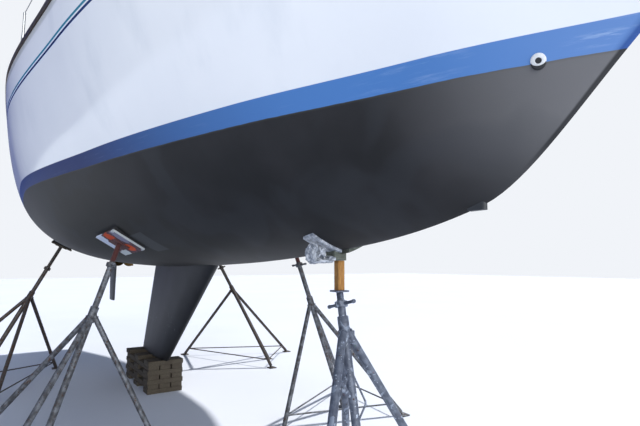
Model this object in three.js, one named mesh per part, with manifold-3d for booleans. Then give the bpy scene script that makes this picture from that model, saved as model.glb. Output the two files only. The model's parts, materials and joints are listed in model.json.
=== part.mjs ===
// Sailing yacht hauled out on a stack of timber and five steel stands.
// Millimetres. +X is the bow, +Y is port, +Z is up, and the ground is at z = 0.
import * as THREE from "three";
import { mergeVertices } from "three/addons/utils/BufferGeometryUtils.js";
import Module from "manifold-3d";

const wasm = await Module();
wasm.setup();

// Driving dimensions of the whole
const HULL_LENGTH = 11940;
const ROLLER_REACH = 180;
const BOW_X = (HULL_LENGTH + ROLLER_REACH) / 2 - ROLLER_REACH;
const BOOT_Z = 2595;
const FIT_GAP = 0.4;
const RUN_GAP = 6;

// Hull sections. s is the share of the length from the stem head, the rest is in mm.
// sheer, bilge: half breadths. sheerZ, keelZ, bilgeZ: heights from the boot stripe's lower edge.
// flat: share of the bilge breadth where the bottom turns up. rise: height of the bottom there.
const HULL_TABLE = [
  { s: 0.0, sheer: 26, bilge: 3, sheerZ: 1553, keelZ: 1391, bilgeZ: 1540, flat: 0.31, rise: 45 },
  { s: 0.035, sheer: 325, bilge: 118, sheerZ: 1529, keelZ: 599, bilgeZ: 1047, flat: 0.31, rise: 102 },
  { s: 0.08, sheer: 646, bilge: 310, sheerZ: 1495, keelZ: 23, bilgeZ: 666, flat: 0.32, rise: 143 },
  { s: 0.14, sheer: 983, bilge: 587, sheerZ: 1448, keelZ: -543, bilgeZ: 332, flat: 0.3, rise: 165 },
  { s: 0.23, sheer: 1372, bilge: 1009, sheerZ: 1377, keelZ: -726, bilgeZ: 6, flat: 0.42, rise: 125 },
  { s: 0.37, sheer: 1761, bilge: 1482, sheerZ: 1284, keelZ: -827, bilgeZ: -300, flat: 0.53, rise: 94 },
  { s: 0.55, sheer: 2046, bilge: 1820, sheerZ: 1191, keelZ: -869, bilgeZ: -546, flat: 0.72, rise: 42 },
  { s: 0.77, sheer: 1970, bilge: 1724, sheerZ: 1142, keelZ: -613, bilgeZ: -413, flat: 0.76, rise: 18 },
  { s: 1.0, sheer: 1526, bilge: 1250, sheerZ: 1166, keelZ: 56, bilgeZ: 45, flat: 0.81, rise: 2 },
];
const BILGE_REACH = 1.04;
const TRANSOM_RAKE = 0.34;
const RAKE_START = 0.84;
const DECK_EDGE = 14;
const DECK_BED = 2;
const CROWN_SHARE = 0.034;

// Keel, below the hull, and the stack that it stands on
const KEEL = { rootFront: 745, rootBack: -1728, tipFront: -981, tipBack: -2321, rootZ: 1740, footZ: 434 };
const KEEL_THICKNESS = 0.105;
const STACK = { front: -1055, back: -2380, halfWidth: 240, layers: 7, crossBoard: 230, longBoard: 145 };

// Cabin trunk, cockpit and rig
const CABIN_WALL = 40;
const CABIN_TABLE = [
  { x: 2560, base: 430, top: 330, height: 60 },
  { x: 2380, base: 560, top: 430, height: 190 },
  { x: 1900, base: 760, top: 620, height: 300 },
  { x: 900, base: 1010, top: 880, height: 380 },
  { x: -400, base: 1120, top: 1000, height: 430 },
  { x: -1900, base: 1080, top: 970, height: 450 },
];
const CABIN_AFT = -1900;
const SALOON = { front: 1770, back: -1720, halfWidth: 900, floorZ: 2290 };
const FORECABIN = { front: 3500, back: 1769, halfWidth: 520, floorZ: 2620 };
const BULKHEAD = { front: 1764, back: 1724, doorHalf: 270, doorTop: 3720 };
const COCKPIT = { front: -1902, back: -4750, halfWidth: 1040, wellHalf: 390 };
const SEAT_DROP = 70;
const WELL_DEPTH = 430;
const TUB_WALL = 40;
const COAMING = { height: 270, width: 95 };
const MAST = { x: 1150, length: 13900, halfX: 92, halfY: 62 };
const BOOM = { drop: 920, length: 4300, halfZ: 80, halfY: 55 };

const materials = {};
function material(name, color, roughness, metalness) {
  materials[name] = new THREE.MeshStandardMaterial({ color, roughness, metalness });
}
material("gelcoat", 0xe9edf2, 0.25, 0);
material("antifouling", 0x3a3d42, 0.9, 0);
material("deck", 0xd9d6cc, 0.7, 0);
material("timber", 0x6b5844, 0.9, 0);
material("rail", 0x5d5049, 0.8, 0);
material("glass", 0x20262c, 0.15, 0);
material("stainless", 0xb9bcc0, 0.3, 1);
material("alloy", 0xc6c8ca, 0.4, 1);
material("bronze", 0x9a7b4a, 0.4, 1);
material("canvas", 0x1f3f86, 0.9, 0);
material("sailcloth", 0xf0efe9, 0.8, 0);
material("steel", 0x5a5d60, 0.7, 0.6);
material("pad", 0xd8692a, 0.8, 0);
material("board", 0xe4e4e0, 0.8, 0);
material("plastic", 0x2a2c2e, 0.5, 0);
material("joinery", 0x8a5a34, 0.5, 0);
material("engine", 0x7d8a86, 0.6, 0.3);

const yacht = new THREE.Group();

// Solids
function toSolid(geometry) {
  const bare = geometry.index ? geometry.toNonIndexed() : geometry.clone();
  bare.deleteAttribute("normal");
  bare.deleteAttribute("uv");
  const merged = mergeVertices(bare, 1e-4);
  const vertices = merged.attributes.position.array;
  const faces = merged.index.array;
  let volume = 0;
  const a = new THREE.Vector3();
  const b = new THREE.Vector3();
  const c = new THREE.Vector3();
  for (let i = 0; i < faces.length; i += 3) {
    a.fromArray(vertices, faces[i] * 3);
    b.fromArray(vertices, faces[i + 1] * 3);
    c.fromArray(vertices, faces[i + 2] * 3);
    volume += a.dot(b.cross(c));
  }
  const triangles = [];
  for (let i = 0; i < faces.length; i += 3) {
    const turn = volume < 0 ? [0, 2, 1] : [0, 1, 2];
    const face = turn.map((k) => faces[i + k]);
    if (new Set(face).size === 3) triangles.push(...face);
  }
  return new wasm.Manifold(
    new wasm.Mesh({
      numProp: 3,
      vertProperties: new Float32Array(vertices),
      triVerts: new Uint32Array(triangles),
    }),
  );
}

function toGeometry(solid) {
  const mesh = solid.getMesh();
  const geometry = new THREE.BufferGeometry();
  const points = new Float32Array(mesh.numVert * 3);
  for (let i = 0; i < mesh.numVert; i += 1) {
    for (let k = 0; k < 3; k += 1) points[i * 3 + k] = mesh.vertProperties[i * mesh.numProp + k];
  }
  geometry.setAttribute("position", new THREE.BufferAttribute(points, 3));
  geometry.setIndex(Array.from(mesh.triVerts));
  geometry.computeVertexNormals();
  return geometry;
}

function add(name, solid, finish) {
  const mesh = new THREE.Mesh(toGeometry(solid), materials[finish]);
  mesh.name = name;
  yacht.add(mesh);
  return solid;
}

function union(solids) {
  return solids.reduce((sum, next) => sum.add(next));
}

function box(x0, x1, y0, y1, z0, z1) {
  const geometry = new THREE.BoxGeometry(x1 - x0, y1 - y0, z1 - z0);
  geometry.translate((x0 + x1) / 2, (y0 + y1) / 2, (z0 + z1) / 2);
  return toSolid(geometry);
}

// A closed skin over rings of the same count, with a fan over each end
function loft(rings) {
  const count = rings[0].length;
  const positions = [];
  const index = [];
  for (const ring of rings) for (const p of ring) positions.push(...p);
  for (let r = 0; r < rings.length - 1; r += 1) {
    for (let i = 0; i < count; i += 1) {
      const j = (i + 1) % count;
      const a = r * count + i;
      const b = r * count + j;
      index.push(a, b, b + count, a, b + count, a + count);
    }
  }
  for (const [r, flip] of [[0, true], [rings.length - 1, false]]) {
    const middle = [0, 0, 0];
    for (const p of rings[r]) for (let k = 0; k < 3; k += 1) middle[k] += p[k] / count;
    const centre = positions.length / 3;
    positions.push(...middle);
    for (let i = 0; i < count; i += 1) {
      const a = r * count + i;
      const b = r * count + ((i + 1) % count);
      index.push(...(flip ? [centre, b, a] : [centre, a, b]));
    }
  }
  const geometry = new THREE.BufferGeometry();
  geometry.setAttribute("position", new THREE.Float32BufferAttribute(positions, 3));
  geometry.setIndex(index);
  return toSolid(geometry);
}

// A round bar between two points, tapering from r0 to r1
function bar(from, to, r0, sides = 8, r1 = r0) {
  const a = new THREE.Vector3(...from);
  const b = new THREE.Vector3(...to);
  const along = b.clone().sub(a);
  const geometry = new THREE.CylinderGeometry(r1, r0, along.length(), sides);
  const up = new THREE.Vector3(0, 1, 0);
  geometry.applyQuaternion(new THREE.Quaternion().setFromUnitVectors(up, along.normalize()));
  geometry.translate(...a.add(b).multiplyScalar(0.5).toArray());
  return toSolid(geometry);
}

// A tube swept through points on a smooth curve
function pipe(points, radius, steps, sides = 8) {
  const path = new THREE.CatmullRomCurve3(points.map((p) => new THREE.Vector3(...p)), false, "centripetal");
  const outline = new THREE.Shape();
  for (let i = 0; i < sides; i += 1) {
    const turn = (i / sides) * Math.PI * 2;
    const move = i === 0 ? "moveTo" : "lineTo";
    outline[move](radius * Math.cos(turn), radius * Math.sin(turn));
  }
  return toSolid(new THREE.ExtrudeGeometry(outline, { steps, extrudePath: path, bevelEnabled: false }));
}

// A solid turned about +Z from radius and height pairs that start and end on the axis
function turned(profile, sides) {
  const geometry = new THREE.LatheGeometry(profile.map(([r, z]) => new THREE.Vector2(r, z)), sides);
  geometry.rotateX(Math.PI / 2);
  return toSolid(geometry);
}

function moved(solid, x, y, z) {
  return solid.translate([x, y, z]);
}

// Monotone cubic through the table's rows
function column(key) {
  const xs = HULL_TABLE.map((row) => row.s);
  const ys = HULL_TABLE.map((row) => row[key]);
  const n = xs.length;
  const step = xs.slice(1).map((x, i) => x - xs[i]);
  const slope = ys.slice(1).map((y, i) => (y - ys[i]) / step[i]);
  const tangent = new Array(n).fill(0);
  for (let i = 1; i < n - 1; i += 1) {
    if (slope[i - 1] * slope[i] > 0) {
      const w1 = 2 * step[i] + step[i - 1];
      const w2 = step[i] + 2 * step[i - 1];
      tangent[i] = (w1 + w2) / (w1 / slope[i - 1] + w2 / slope[i]);
    }
  }
  tangent[0] = endTangent(step[0], step[1], slope[0], slope[1]);
  tangent[n - 1] = endTangent(step[n - 2], step[n - 3], slope[n - 2], slope[n - 3]);
  return (s) => {
    let i = 0;
    while (i < n - 2 && s > xs[i + 1]) i += 1;
    const t = (s - xs[i]) / step[i];
    const h00 = (1 + 2 * t) * (1 - t) ** 2;
    const h10 = t * (1 - t) ** 2;
    const h01 = t * t * (3 - 2 * t);
    const h11 = t * t * (t - 1);
    return h00 * ys[i] + h10 * step[i] * tangent[i] + h01 * ys[i + 1] + h11 * step[i] * tangent[i + 1];
  };
}

function endTangent(near, far, slopeNear, slopeFar) {
  const value = ((2 * near + far) * slopeNear - near * slopeFar) / (near + far);
  if (value * slopeNear <= 0) return 0;
  if (slopeNear * slopeFar <= 0 && Math.abs(value) > 3 * Math.abs(slopeNear)) return 3 * slopeNear;
  return value;
}

const hullColumn = {};
for (const key of ["sheer", "bilge", "sheerZ", "keelZ", "bilgeZ", "flat", "rise"]) {
  hullColumn[key] = column(key);
}

// Rake of the transom: the deck's edge ends further forward than the bottom
function rakeAt(s) {
  const t = Math.min(Math.max((s - RAKE_START) / (1 - RAKE_START), 0), 1);
  return TRANSOM_RAKE * t * t * (3 - 2 * t);
}

// Point of the half section at s: a cubic Bezier curve from the keel, t = 0, to the sheer, t = 1
function hullPoint(s, t) {
  const keelZ = BOOT_Z + hullColumn.keelZ(s);
  const bilge = hullColumn.bilge(s);
  const ys = [0, hullColumn.flat(s) * bilge, BILGE_REACH * bilge, hullColumn.sheer(s)];
  const rise = keelZ + hullColumn.rise(s);
  const zs = [keelZ, rise, BOOT_Z + hullColumn.bilgeZ(s), BOOT_Z + hullColumn.sheerZ(s)];
  const weights = [(1 - t) ** 3, 3 * (1 - t) ** 2 * t, 3 * (1 - t) * t * t, t ** 3];
  const y = weights.reduce((sum, w, i) => sum + w * ys[i], 0);
  const z = weights.reduce((sum, w, i) => sum + w * zs[i], 0);
  return [BOW_X - s * HULL_LENGTH + rakeAt(s) * (z - keelZ), y, z];
}

function shareAt(x) {
  return (BOW_X - x) / HULL_LENGTH;
}

function deckEdge(x) {
  let s = shareAt(x);
  for (let i = 0; i < 6; i += 1) s += (hullPoint(s, 1)[0] - x) / HULL_LENGTH;
  return hullPoint(Math.min(s, 1), 1);
}

// Height of the deck's upper face at a place
function deckZ(x, y = 0) {
  const [, edge, z] = deckEdge(x);
  return z + DECK_EDGE + 2 * edge * CROWN_SHARE * (1 - (y / edge) ** 2);
}

// Height of the hull's outer skin under a place, on the turn of the bottom
function bottomZ(x, y) {
  let low = 0;
  let high = 1;
  for (let i = 0; i < 40; i += 1) {
    const t = (low + high) / 2;
    if (hullPoint(shareAt(x), t)[1] < Math.abs(y)) low = t;
    else high = t;
  }
  return hullPoint(shareAt(x), low)[2];
}

// Hull
const STATIONS = 40;
const SECTION_POINTS = 15;
const stationShares = [];
for (let i = 0; i <= STATIONS; i += 1) stationShares.push((i / STATIONS) ** 1.25);

function hullRing(s) {
  const half = [];
  for (let i = 0; i <= SECTION_POINTS; i += 1) half.push(hullPoint(s, i / SECTION_POINTS));
  const port = half.slice().reverse();
  const starboard = half.slice(1).map(([x, y, z]) => [x, -y, z]);
  return [...port, ...starboard];
}

const hullForm = loft(stationShares.map(hullRing));
const seatZ = deckEdge(COCKPIT.back)[2] - SEAT_DROP;
const wellZ = seatZ - WELL_DEPTH;
const tubBottom = wellZ - TUB_WALL;
const engineBay = { front: SALOON.back, back: -3000, halfWidth: 330, floorZ: 2240 };
const anchorLocker = { front: 5150, back: 4420, halfWidth: 230, depth: 380 };
const DOORWAY = { halfWidth: 320, sillRise: 330 };
const RUDDER_X = -4950;
const STOCK_RADIUS = 32;

const hullPockets = [
  box(SALOON.back, SALOON.front, -SALOON.halfWidth, SALOON.halfWidth, SALOON.floorZ, 6000),
  box(FORECABIN.back, FORECABIN.front, -FORECABIN.halfWidth, FORECABIN.halfWidth, FORECABIN.floorZ, 6000),
  box(
    engineBay.back,
    SALOON.back + 1,
    -engineBay.halfWidth,
    engineBay.halfWidth,
    engineBay.floorZ,
    tubBottom,
  ),
  box(
    COCKPIT.back - RUN_GAP - 4,
    COCKPIT.front + RUN_GAP + 4,
    -COCKPIT.halfWidth - 5,
    COCKPIT.halfWidth + 5,
    tubBottom - FIT_GAP,
    6000,
  ),
  box(
    COCKPIT.front - 20,
    SALOON.back + 1,
    -DOORWAY.halfWidth,
    DOORWAY.halfWidth,
    wellZ + DOORWAY.sillRise,
    6000,
  ),
  box(
    anchorLocker.back,
    anchorLocker.front,
    -anchorLocker.halfWidth,
    anchorLocker.halfWidth,
    deckZ(anchorLocker.back) - anchorLocker.depth,
    6000,
  ),
  bar([RUDDER_X, 0, 2000], [RUDDER_X, 0, bottomZ(RUDDER_X, 0) + 170], STOCK_RADIUS + 2, 24),
];
add("hull", hullForm.subtract(union(hullPockets)), "gelcoat");

// Keel: fin sections of half width HALF_FIN at shares along the chord
const HALF_FIN = [
  [0, 0],
  [0.02, 0.34],
  [0.08, 0.66],
  [0.2, 0.93],
  [0.36, 1],
  [0.6, 0.78],
  [0.82, 0.42],
  [1, 0.045],
];
function finRing(front, back, z, thickness) {
  const chord = front - back;
  const side = HALF_FIN.map(([u, w]) => [front - u * chord, (w * thickness * chord) / 2, z]);
  const other = side.slice(1).reverse().map(([x, y, h]) => [x, -y, h]);
  return [...side, ...other];
}
function keelRing(share, z) {
  const front = KEEL.rootFront + (KEEL.tipFront - KEEL.rootFront) * share;
  const back = KEEL.rootBack + (KEEL.tipBack - KEEL.rootBack) * share;
  return finRing(front, back, z, KEEL_THICKNESS);
}
const KEEL_STUB = 200;
const stubShare = KEEL_STUB / (KEEL.footZ - KEEL.rootZ);
const keelForm = loft([keelRing(stubShare, KEEL.rootZ + KEEL_STUB), keelRing(1, KEEL.footZ)]);
const hullBelow = moved(hullForm, 0, 0, -FIT_GAP);
add("keel", keelForm.subtract(hullBelow), "antifouling");

// Stack of boards under the keel: cross boards and long boards in turn
function stackOfBoards() {
  const layers = [];
  const rise = (KEEL.footZ - FIT_GAP) / STACK.layers;
  const middle = (STACK.front + STACK.back - STACK.crossBoard) / 2;
  for (let i = 0; i < STACK.layers; i += 1) {
    const z0 = i * rise;
    const z1 = z0 + rise + (i < STACK.layers - 1 ? 1 : 0);
    if (i % 2 === 0) {
      for (const x of [STACK.back, middle, STACK.front - STACK.crossBoard]) {
        layers.push(box(x, x + STACK.crossBoard, -STACK.halfWidth, STACK.halfWidth, z0, z1));
      }
    } else {
      for (const y of [8 - STACK.halfWidth, -STACK.longBoard / 2, STACK.halfWidth - STACK.longBoard - 8]) {
        layers.push(box(STACK.back + 5, STACK.front - 5, y, y + STACK.longBoard, z0, z1));
      }
    }
  }
  return union(layers);
}
add("keel_timber_stack", stackOfBoards(), "timber");

// Stands. pad: where the pad meets the hull. size: of the pad. turn: of the pad, in degrees.
// post: foot of the central post. collar: height where the legs meet it. nut: height of the
// screw's handle. feet: of the three legs. leg: their radius.
const BOW_BLOCK = { x0: 2890, x1: 3110, y0: -265, y1: 215, z: 1785 };
const BOW_CHOCK = { x: 2960, y: 36, half: 27, z: 1577 };
const SIDE_STANDS = [
  {
    name: "mid",
    pad: [680, 985],
    size: [480, 350],
    turn: -10,
    post: [835, 1647],
    collar: 1300,
    nut: 1750,
    feet: [[1120, 640], [1480, 2030], [100, 2200]],
    leg: 25,
  },
  {
    name: "aft",
    pad: [-2600, 1200],
    size: [420, 300],
    turn: 5,
    post: [-2300, 2250],
    collar: 1300,
    nut: 1690,
    feet: [[-3600, 1100], [-1600, 1950], [-2750, 2900]],
    leg: 25,
  },
];
const BOW_STAND = {
  post: [3290, 30],
  collar: 1340,
  nut: 1480,
  feet: [[3660, -680], [3200, 850], [2420, 500]],
  leg: 29,
};
const PAD_THICKNESS = 46;
const PLATE = { half: 85, thickness: 12 };
const POST_RADIUS = 30;
const HANDLE = { radius: 11, reach: 150 };
const FOOT_PLATE = { half: 62, thickness: 14 };
const BRACE = { radius: 9, share: 0.09 };

// Axes of a pad that lies on the hull: its own z is the hull's normal
function padAxes(x, y, turn) {
  const reach = 60;
  const across = Math.atan2(bottomZ(x, y + reach) - bottomZ(x, y - reach), 2 * reach);
  const along = Math.atan2(bottomZ(x + reach, y) - bottomZ(x - reach, y), 2 * reach);
  const axes = new THREE.Matrix4().makeTranslation(x, y, bottomZ(x, y));
  axes.multiply(new THREE.Matrix4().makeRotationY(-along));
  axes.multiply(new THREE.Matrix4().makeRotationX(across));
  return axes.multiply(new THREE.Matrix4().makeRotationZ(THREE.MathUtils.degToRad(turn)));
}

function slab(axes, length, width, z0, z1) {
  const geometry = new THREE.BoxGeometry(length, width, z1 - z0);
  geometry.translate(0, 0, (z0 + z1) / 2);
  geometry.applyMatrix4(axes);
  return toSolid(geometry);
}

// Central post from its head to the ground, three legs from the collar, and braces between them
function standFrame(row, head, plate) {
  const foot = [row.post[0], row.post[1], 6];
  const postAt = (z) => head.map((v, i) => v + ((foot[i] - v) * (head[2] - z)) / (head[2] - foot[2]));
  const apex = postAt(row.collar);
  const parts = [plate, bar(foot, head, POST_RADIUS, 12)];
  parts.push(bar(postAt(row.collar - 90), postAt(row.collar + 60), POST_RADIUS + 9, 12));
  parts.push(bar(postAt(row.nut - 22), postAt(row.nut + 22), POST_RADIUS + 16, 12));
  const [nx, ny, nz] = postAt(row.nut);
  parts.push(bar([nx - HANDLE.reach, ny, nz], [nx + HANDLE.reach, ny, nz], HANDLE.radius, 8));
  const low = [];
  for (const [x, y] of [...row.feet, row.post]) {
    const half = FOOT_PLATE.half;
    parts.push(box(x - half, x + half, y - half, y + half, 0, FOOT_PLATE.thickness));
  }
  for (const [x, y] of row.feet) {
    parts.push(bar([x, y, 6], apex, row.leg, 10));
    low.push([x, y, 6].map((v, i) => v + (apex[i] - v) * BRACE.share));
  }
  for (let i = 0; i < low.length; i += 1) {
    parts.push(bar(low[i], low[(i + 1) % low.length], BRACE.radius, 6));
  }
  const reach = 4000;
  return union(parts).subtract(box(-reach, reach, -reach, reach, -200, 0));
}

const bowBlock = box(
  BOW_BLOCK.x0,
  BOW_BLOCK.x1,
  BOW_BLOCK.y0,
  BOW_BLOCK.y1,
  BOW_BLOCK.z,
  2100,
).subtract(hullBelow);
const bowChock = box(
  BOW_CHOCK.x - BOW_CHOCK.half,
  BOW_CHOCK.x + BOW_CHOCK.half,
  BOW_CHOCK.y - BOW_CHOCK.half,
  BOW_CHOCK.y + BOW_CHOCK.half,
  BOW_CHOCK.z,
  BOW_BLOCK.z + 1,
);
add("pad_bow", bowBlock.add(bowChock), "board");
const bowHead = [BOW_CHOCK.x, BOW_CHOCK.y, BOW_CHOCK.z - FIT_GAP];
const bowPlate = box(
  BOW_CHOCK.x - 50,
  BOW_CHOCK.x + 50,
  BOW_CHOCK.y - 50,
  BOW_CHOCK.y + 50,
  bowHead[2] - PLATE.thickness,
  bowHead[2],
);
const bowCut = box(2700, 3300, -300, 300, bowHead[2], 2000);
add("stand_bow", standFrame(BOW_STAND, bowHead, bowPlate).subtract(bowCut), "steel");

for (const row of SIDE_STANDS) {
  for (const [side, sign] of [["port", 1], ["starboard", -1]]) {
    const mirror = ([x, y]) => [x, sign * y];
    const [x, y] = mirror(row.pad);
    const axes = padAxes(x, y, sign * row.turn);
    const pad = slab(axes, row.size[0], row.size[1], -PAD_THICKNESS, 30).subtract(hullBelow);
    const plateTop = -PAD_THICKNESS - FIT_GAP;
    const plate = slab(axes, PLATE.half * 2, PLATE.half * 2, plateTop - PLATE.thickness, plateTop);
    const head = new THREE.Vector3(0, 0, plateTop - PLATE.thickness / 2).applyMatrix4(axes).toArray();
    const stand = { ...row, post: mirror(row.post), feet: row.feet.map(mirror) };
    const clearance = slab(axes, row.size[0] + 9, row.size[1] + 9, plateTop, 200);
    add(`pad_${row.name}_${side}`, pad, "pad");
    add(`stand_${row.name}_${side}`, standFrame(stand, head, plate).subtract(clearance), "steel");
  }
}

// Deck, with the openings for the cabin, the cockpit, the fore hatch and the anchor locker
const DECK_POINTS = 10;
function deckRing(s) {
  const [x, edge, z] = hullPoint(s, 1);
  const half = edge - 4;
  const ring = [];
  for (let i = 0; i <= DECK_POINTS; i += 1) {
    const y = half * (1 - (2 * i) / DECK_POINTS);
    const share = edge > 60 ? 1 - (y / edge) ** 2 : 0;
    ring.push([x, y, z + DECK_EDGE + 2 * edge * CROWN_SHARE * share]);
  }
  ring.push([x, -half, z + DECK_BED], [x, half, z + DECK_BED]);
  return ring;
}
const deckForm = loft(stationShares.map(deckRing));

// Cabin trunk. inset: of its skin. skirt: how far the form goes down past its foot.
function cabinRing(row, inset, skirt) {
  const foot = deckEdge(row.x)[2] + DECK_BED;
  const top = deckZ(row.x) + row.height - inset;
  const base = row.base - inset;
  const shoulder = row.top - inset;
  const half = [
    [base, foot - skirt],
    [base, foot + 2],
    [shoulder, top - 55],
    [shoulder - 70, top - 12],
    [shoulder * 0.5, top + 10],
  ];
  const port = half.map(([y, z]) => [row.x, y, z]);
  const starboard = half.slice().reverse().map(([y, z]) => [row.x, -y, z]);
  return [...port, [row.x, 0, top + 20], ...starboard];
}
function cabinForm(inset, skirt) {
  const rows = CABIN_TABLE.map((row, i) => {
    const last = i === CABIN_TABLE.length - 1;
    const shift = last ? inset : -inset;
    return { ...row, x: row.x + (i === 0 || last ? shift : 0) };
  });
  return loft(rows.map((row) => cabinRing(row, inset, skirt)));
}
const SKIRT = 60;
const cabinOuter = cabinForm(0, 0);
const cabinInner = cabinForm(CABIN_WALL, SKIRT);
const WINDOW = { front: 1500, back: -1250, low: 120, high: 300, corner: 60 };

// A prism across the cabin with rounded ends, the cut for the side windows
function windowPrism(shrink) {
  const shape = new THREE.Shape();
  const x0 = WINDOW.back + shrink;
  const x1 = WINDOW.front - shrink;
  const base = deckZ(0) - 10;
  const rise = (x) => (deckZ(x) - deckZ(0)) * 0.6;
  const top = (x) => base + WINDOW.high - shrink + rise(x) - (x > 0 ? x * 0.03 : 0);
  const low = (x) => base + WINDOW.low + shrink + rise(x);
  const c = WINDOW.corner - shrink;
  shape.moveTo(x0 + c, low(x0));
  shape.lineTo(x1 - c, low(x1));
  shape.quadraticCurveTo(x1, low(x1), x1, (low(x1) + top(x1)) / 2);
  shape.quadraticCurveTo(x1, top(x1), x1 - c * 1.6, top(x1));
  shape.lineTo(x0 + c, top(x0));
  shape.quadraticCurveTo(x0, top(x0), x0, (low(x0) + top(x0)) / 2);
  shape.quadraticCurveTo(x0, low(x0), x0 + c, low(x0));
  const geometry = new THREE.ExtrudeGeometry(shape, { depth: 1600, bevelEnabled: false, curveSegments: 5 });
  geometry.rotateX(Math.PI / 2);
  return toSolid(geometry);
}
const PANE_SIDES = [["port", 1700], ["starboard", -100]];
const windowCuts = PANE_SIDES.map(([, shift]) => moved(windowPrism(0), 0, shift, 0));

const roofZ = (x, y = 0) => {
  const rows = CABIN_TABLE;
  let i = 0;
  while (i < rows.length - 2 && x < rows[i + 1].x) i += 1;
  const share = (rows[i].x - x) / (rows[i].x - rows[i + 1].x);
  const height = rows[i].height + (rows[i + 1].height - rows[i].height) * share;
  const half = rows[i].top + (rows[i + 1].top - rows[i].top) * share;
  const crown = 20 - 20 * Math.min(Math.abs(y) / half / 0.5, 1) * 0.5;
  return deckZ(rows[i].x) * (1 - share) + deckZ(rows[i + 1].x) * share + height + crown;
};

const SALOON_HATCH = { x: -250, half: 250 };
const FORE_HATCH = { x: 3050, half: 280 };
const SLIDE = { back: -1915, front: -1180, halfWidth: 330, travel: 560, thickness: 26 };
const slideZ = Math.max(roofZ(SLIDE.back + 20), roofZ(SLIDE.front + SLIDE.travel)) + 12;
const cabinCuts = [
  cabinInner,
  ...windowCuts,
  box(
    SALOON_HATCH.x - SALOON_HATCH.half + 40,
    SALOON_HATCH.x + SALOON_HATCH.half - 40,
    -SALOON_HATCH.half + 40,
    SALOON_HATCH.half - 40,
    3900,
    5000,
  ),
  box(CABIN_AFT - 10, SLIDE.front - 60, -DOORWAY.halfWidth + 20, DOORWAY.halfWidth - 20, 4000, 5000),
  box(CABIN_AFT - 10, CABIN_AFT + 80, -DOORWAY.halfWidth + 20, DOORWAY.halfWidth - 20, 3000, 5000),
];
const hatchFrameZ = roofZ(SALOON_HATCH.x + SALOON_HATCH.half) + 22;
const saloonFrame = box(
  SALOON_HATCH.x - SALOON_HATCH.half,
  SALOON_HATCH.x + SALOON_HATCH.half,
  -SALOON_HATCH.half,
  SALOON_HATCH.half,
  roofZ(SALOON_HATCH.x) - 60,
  hatchFrameZ,
).subtract(cabinInner);
const runners = [1, -1].map((side) => {
  const y = side * (SLIDE.halfWidth + 28);
  return box(CABIN_AFT + 5, SLIDE.front + SLIDE.travel + 20, y - 14, y + 14, slideZ - 90, slideZ + 20);
});
const STEP = { halfX: 170, halfY: 130, depth: 60, rise: 24 };
const mastStep = box(
  MAST.x - STEP.halfX,
  MAST.x + STEP.halfX,
  -STEP.halfY,
  STEP.halfY,
  roofZ(MAST.x) - STEP.depth,
  roofZ(MAST.x) + STEP.rise,
).subtract(cabinInner);
const cabinShell = union([cabinOuter, saloonFrame, mastStep, ...runners]).subtract(union(cabinCuts));
add("coachroof", cabinShell, "gelcoat");

// Window panes, one long pane a side, flush with the cabin sides
const paneSkin = cabinForm(4, 0).subtract(cabinForm(14, SKIRT));
for (const [side, shift] of PANE_SIDES) {
  const pane = moved(windowPrism(1), 0, shift, 0).intersect(paneSkin);
  add(`window_${side}`, pane, "glass");
}

const foreFrameZ = deckZ(FORE_HATCH.x + FORE_HATCH.half) + 26;
const foreFrame = box(
  FORE_HATCH.x - FORE_HATCH.half,
  FORE_HATCH.x + FORE_HATCH.half,
  -FORE_HATCH.half,
  FORE_HATCH.half,
  deckZ(FORE_HATCH.x) - 40,
  foreFrameZ,
);
const anchorLid = {
  x0: anchorLocker.back - 25,
  x1: anchorLocker.front + 25,
  half: anchorLocker.halfWidth + 25,
};
const deckCuts = [
  cabinForm(-2.5, SKIRT),
  box(
    COCKPIT.front - 1,
    CABIN_AFT + 50,
    -COCKPIT.halfWidth - FIT_GAP,
    COCKPIT.halfWidth + FIT_GAP,
    3000,
    5000,
  ),
  box(
    FORE_HATCH.x - FORE_HATCH.half + 45,
    FORE_HATCH.x + FORE_HATCH.half - 45,
    -FORE_HATCH.half + 45,
    FORE_HATCH.half - 45,
    3000,
    5000,
  ),
  box(
    COCKPIT.back - RUN_GAP,
    COCKPIT.front + RUN_GAP,
    -COCKPIT.halfWidth - FIT_GAP,
    COCKPIT.halfWidth + FIT_GAP,
    3000,
    5000,
  ),
  box(
    anchorLocker.back + 8,
    anchorLocker.front - 8,
    8 - anchorLocker.halfWidth,
    anchorLocker.halfWidth - 8,
    3000,
    5000,
  ),
];
const deckSolid = deckForm.add(foreFrame).subtract(union(deckCuts));
add("deck", deckSolid, "deck");
const onDeck = (solid) => solid.subtract(deckSolid.translate([0, 0, FIT_GAP]));

// Toe rails, one strip a side on the deck's edge
function railRing(s, side) {
  const [x, edge, z] = hullPoint(s, 1);
  const outer = edge + 9;
  const inner = edge - 30;
  const foot = z + DECK_EDGE + FIT_GAP;
  return [
    [x, side * outer, foot],
    [x, side * inner, foot + 2 * CROWN_SHARE * 60],
    [x, side * inner, foot + 58],
    [x, side * (outer - 4), foot + 58],
  ];
}
for (const [side, sign] of [["port", 1], ["starboard", -1]]) {
  const shares = stationShares.filter((s) => s > 0.012);
  add(`toe_rail_${side}`, loft(shares.map((s) => railRing(s, sign))), "rail");
}

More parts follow.
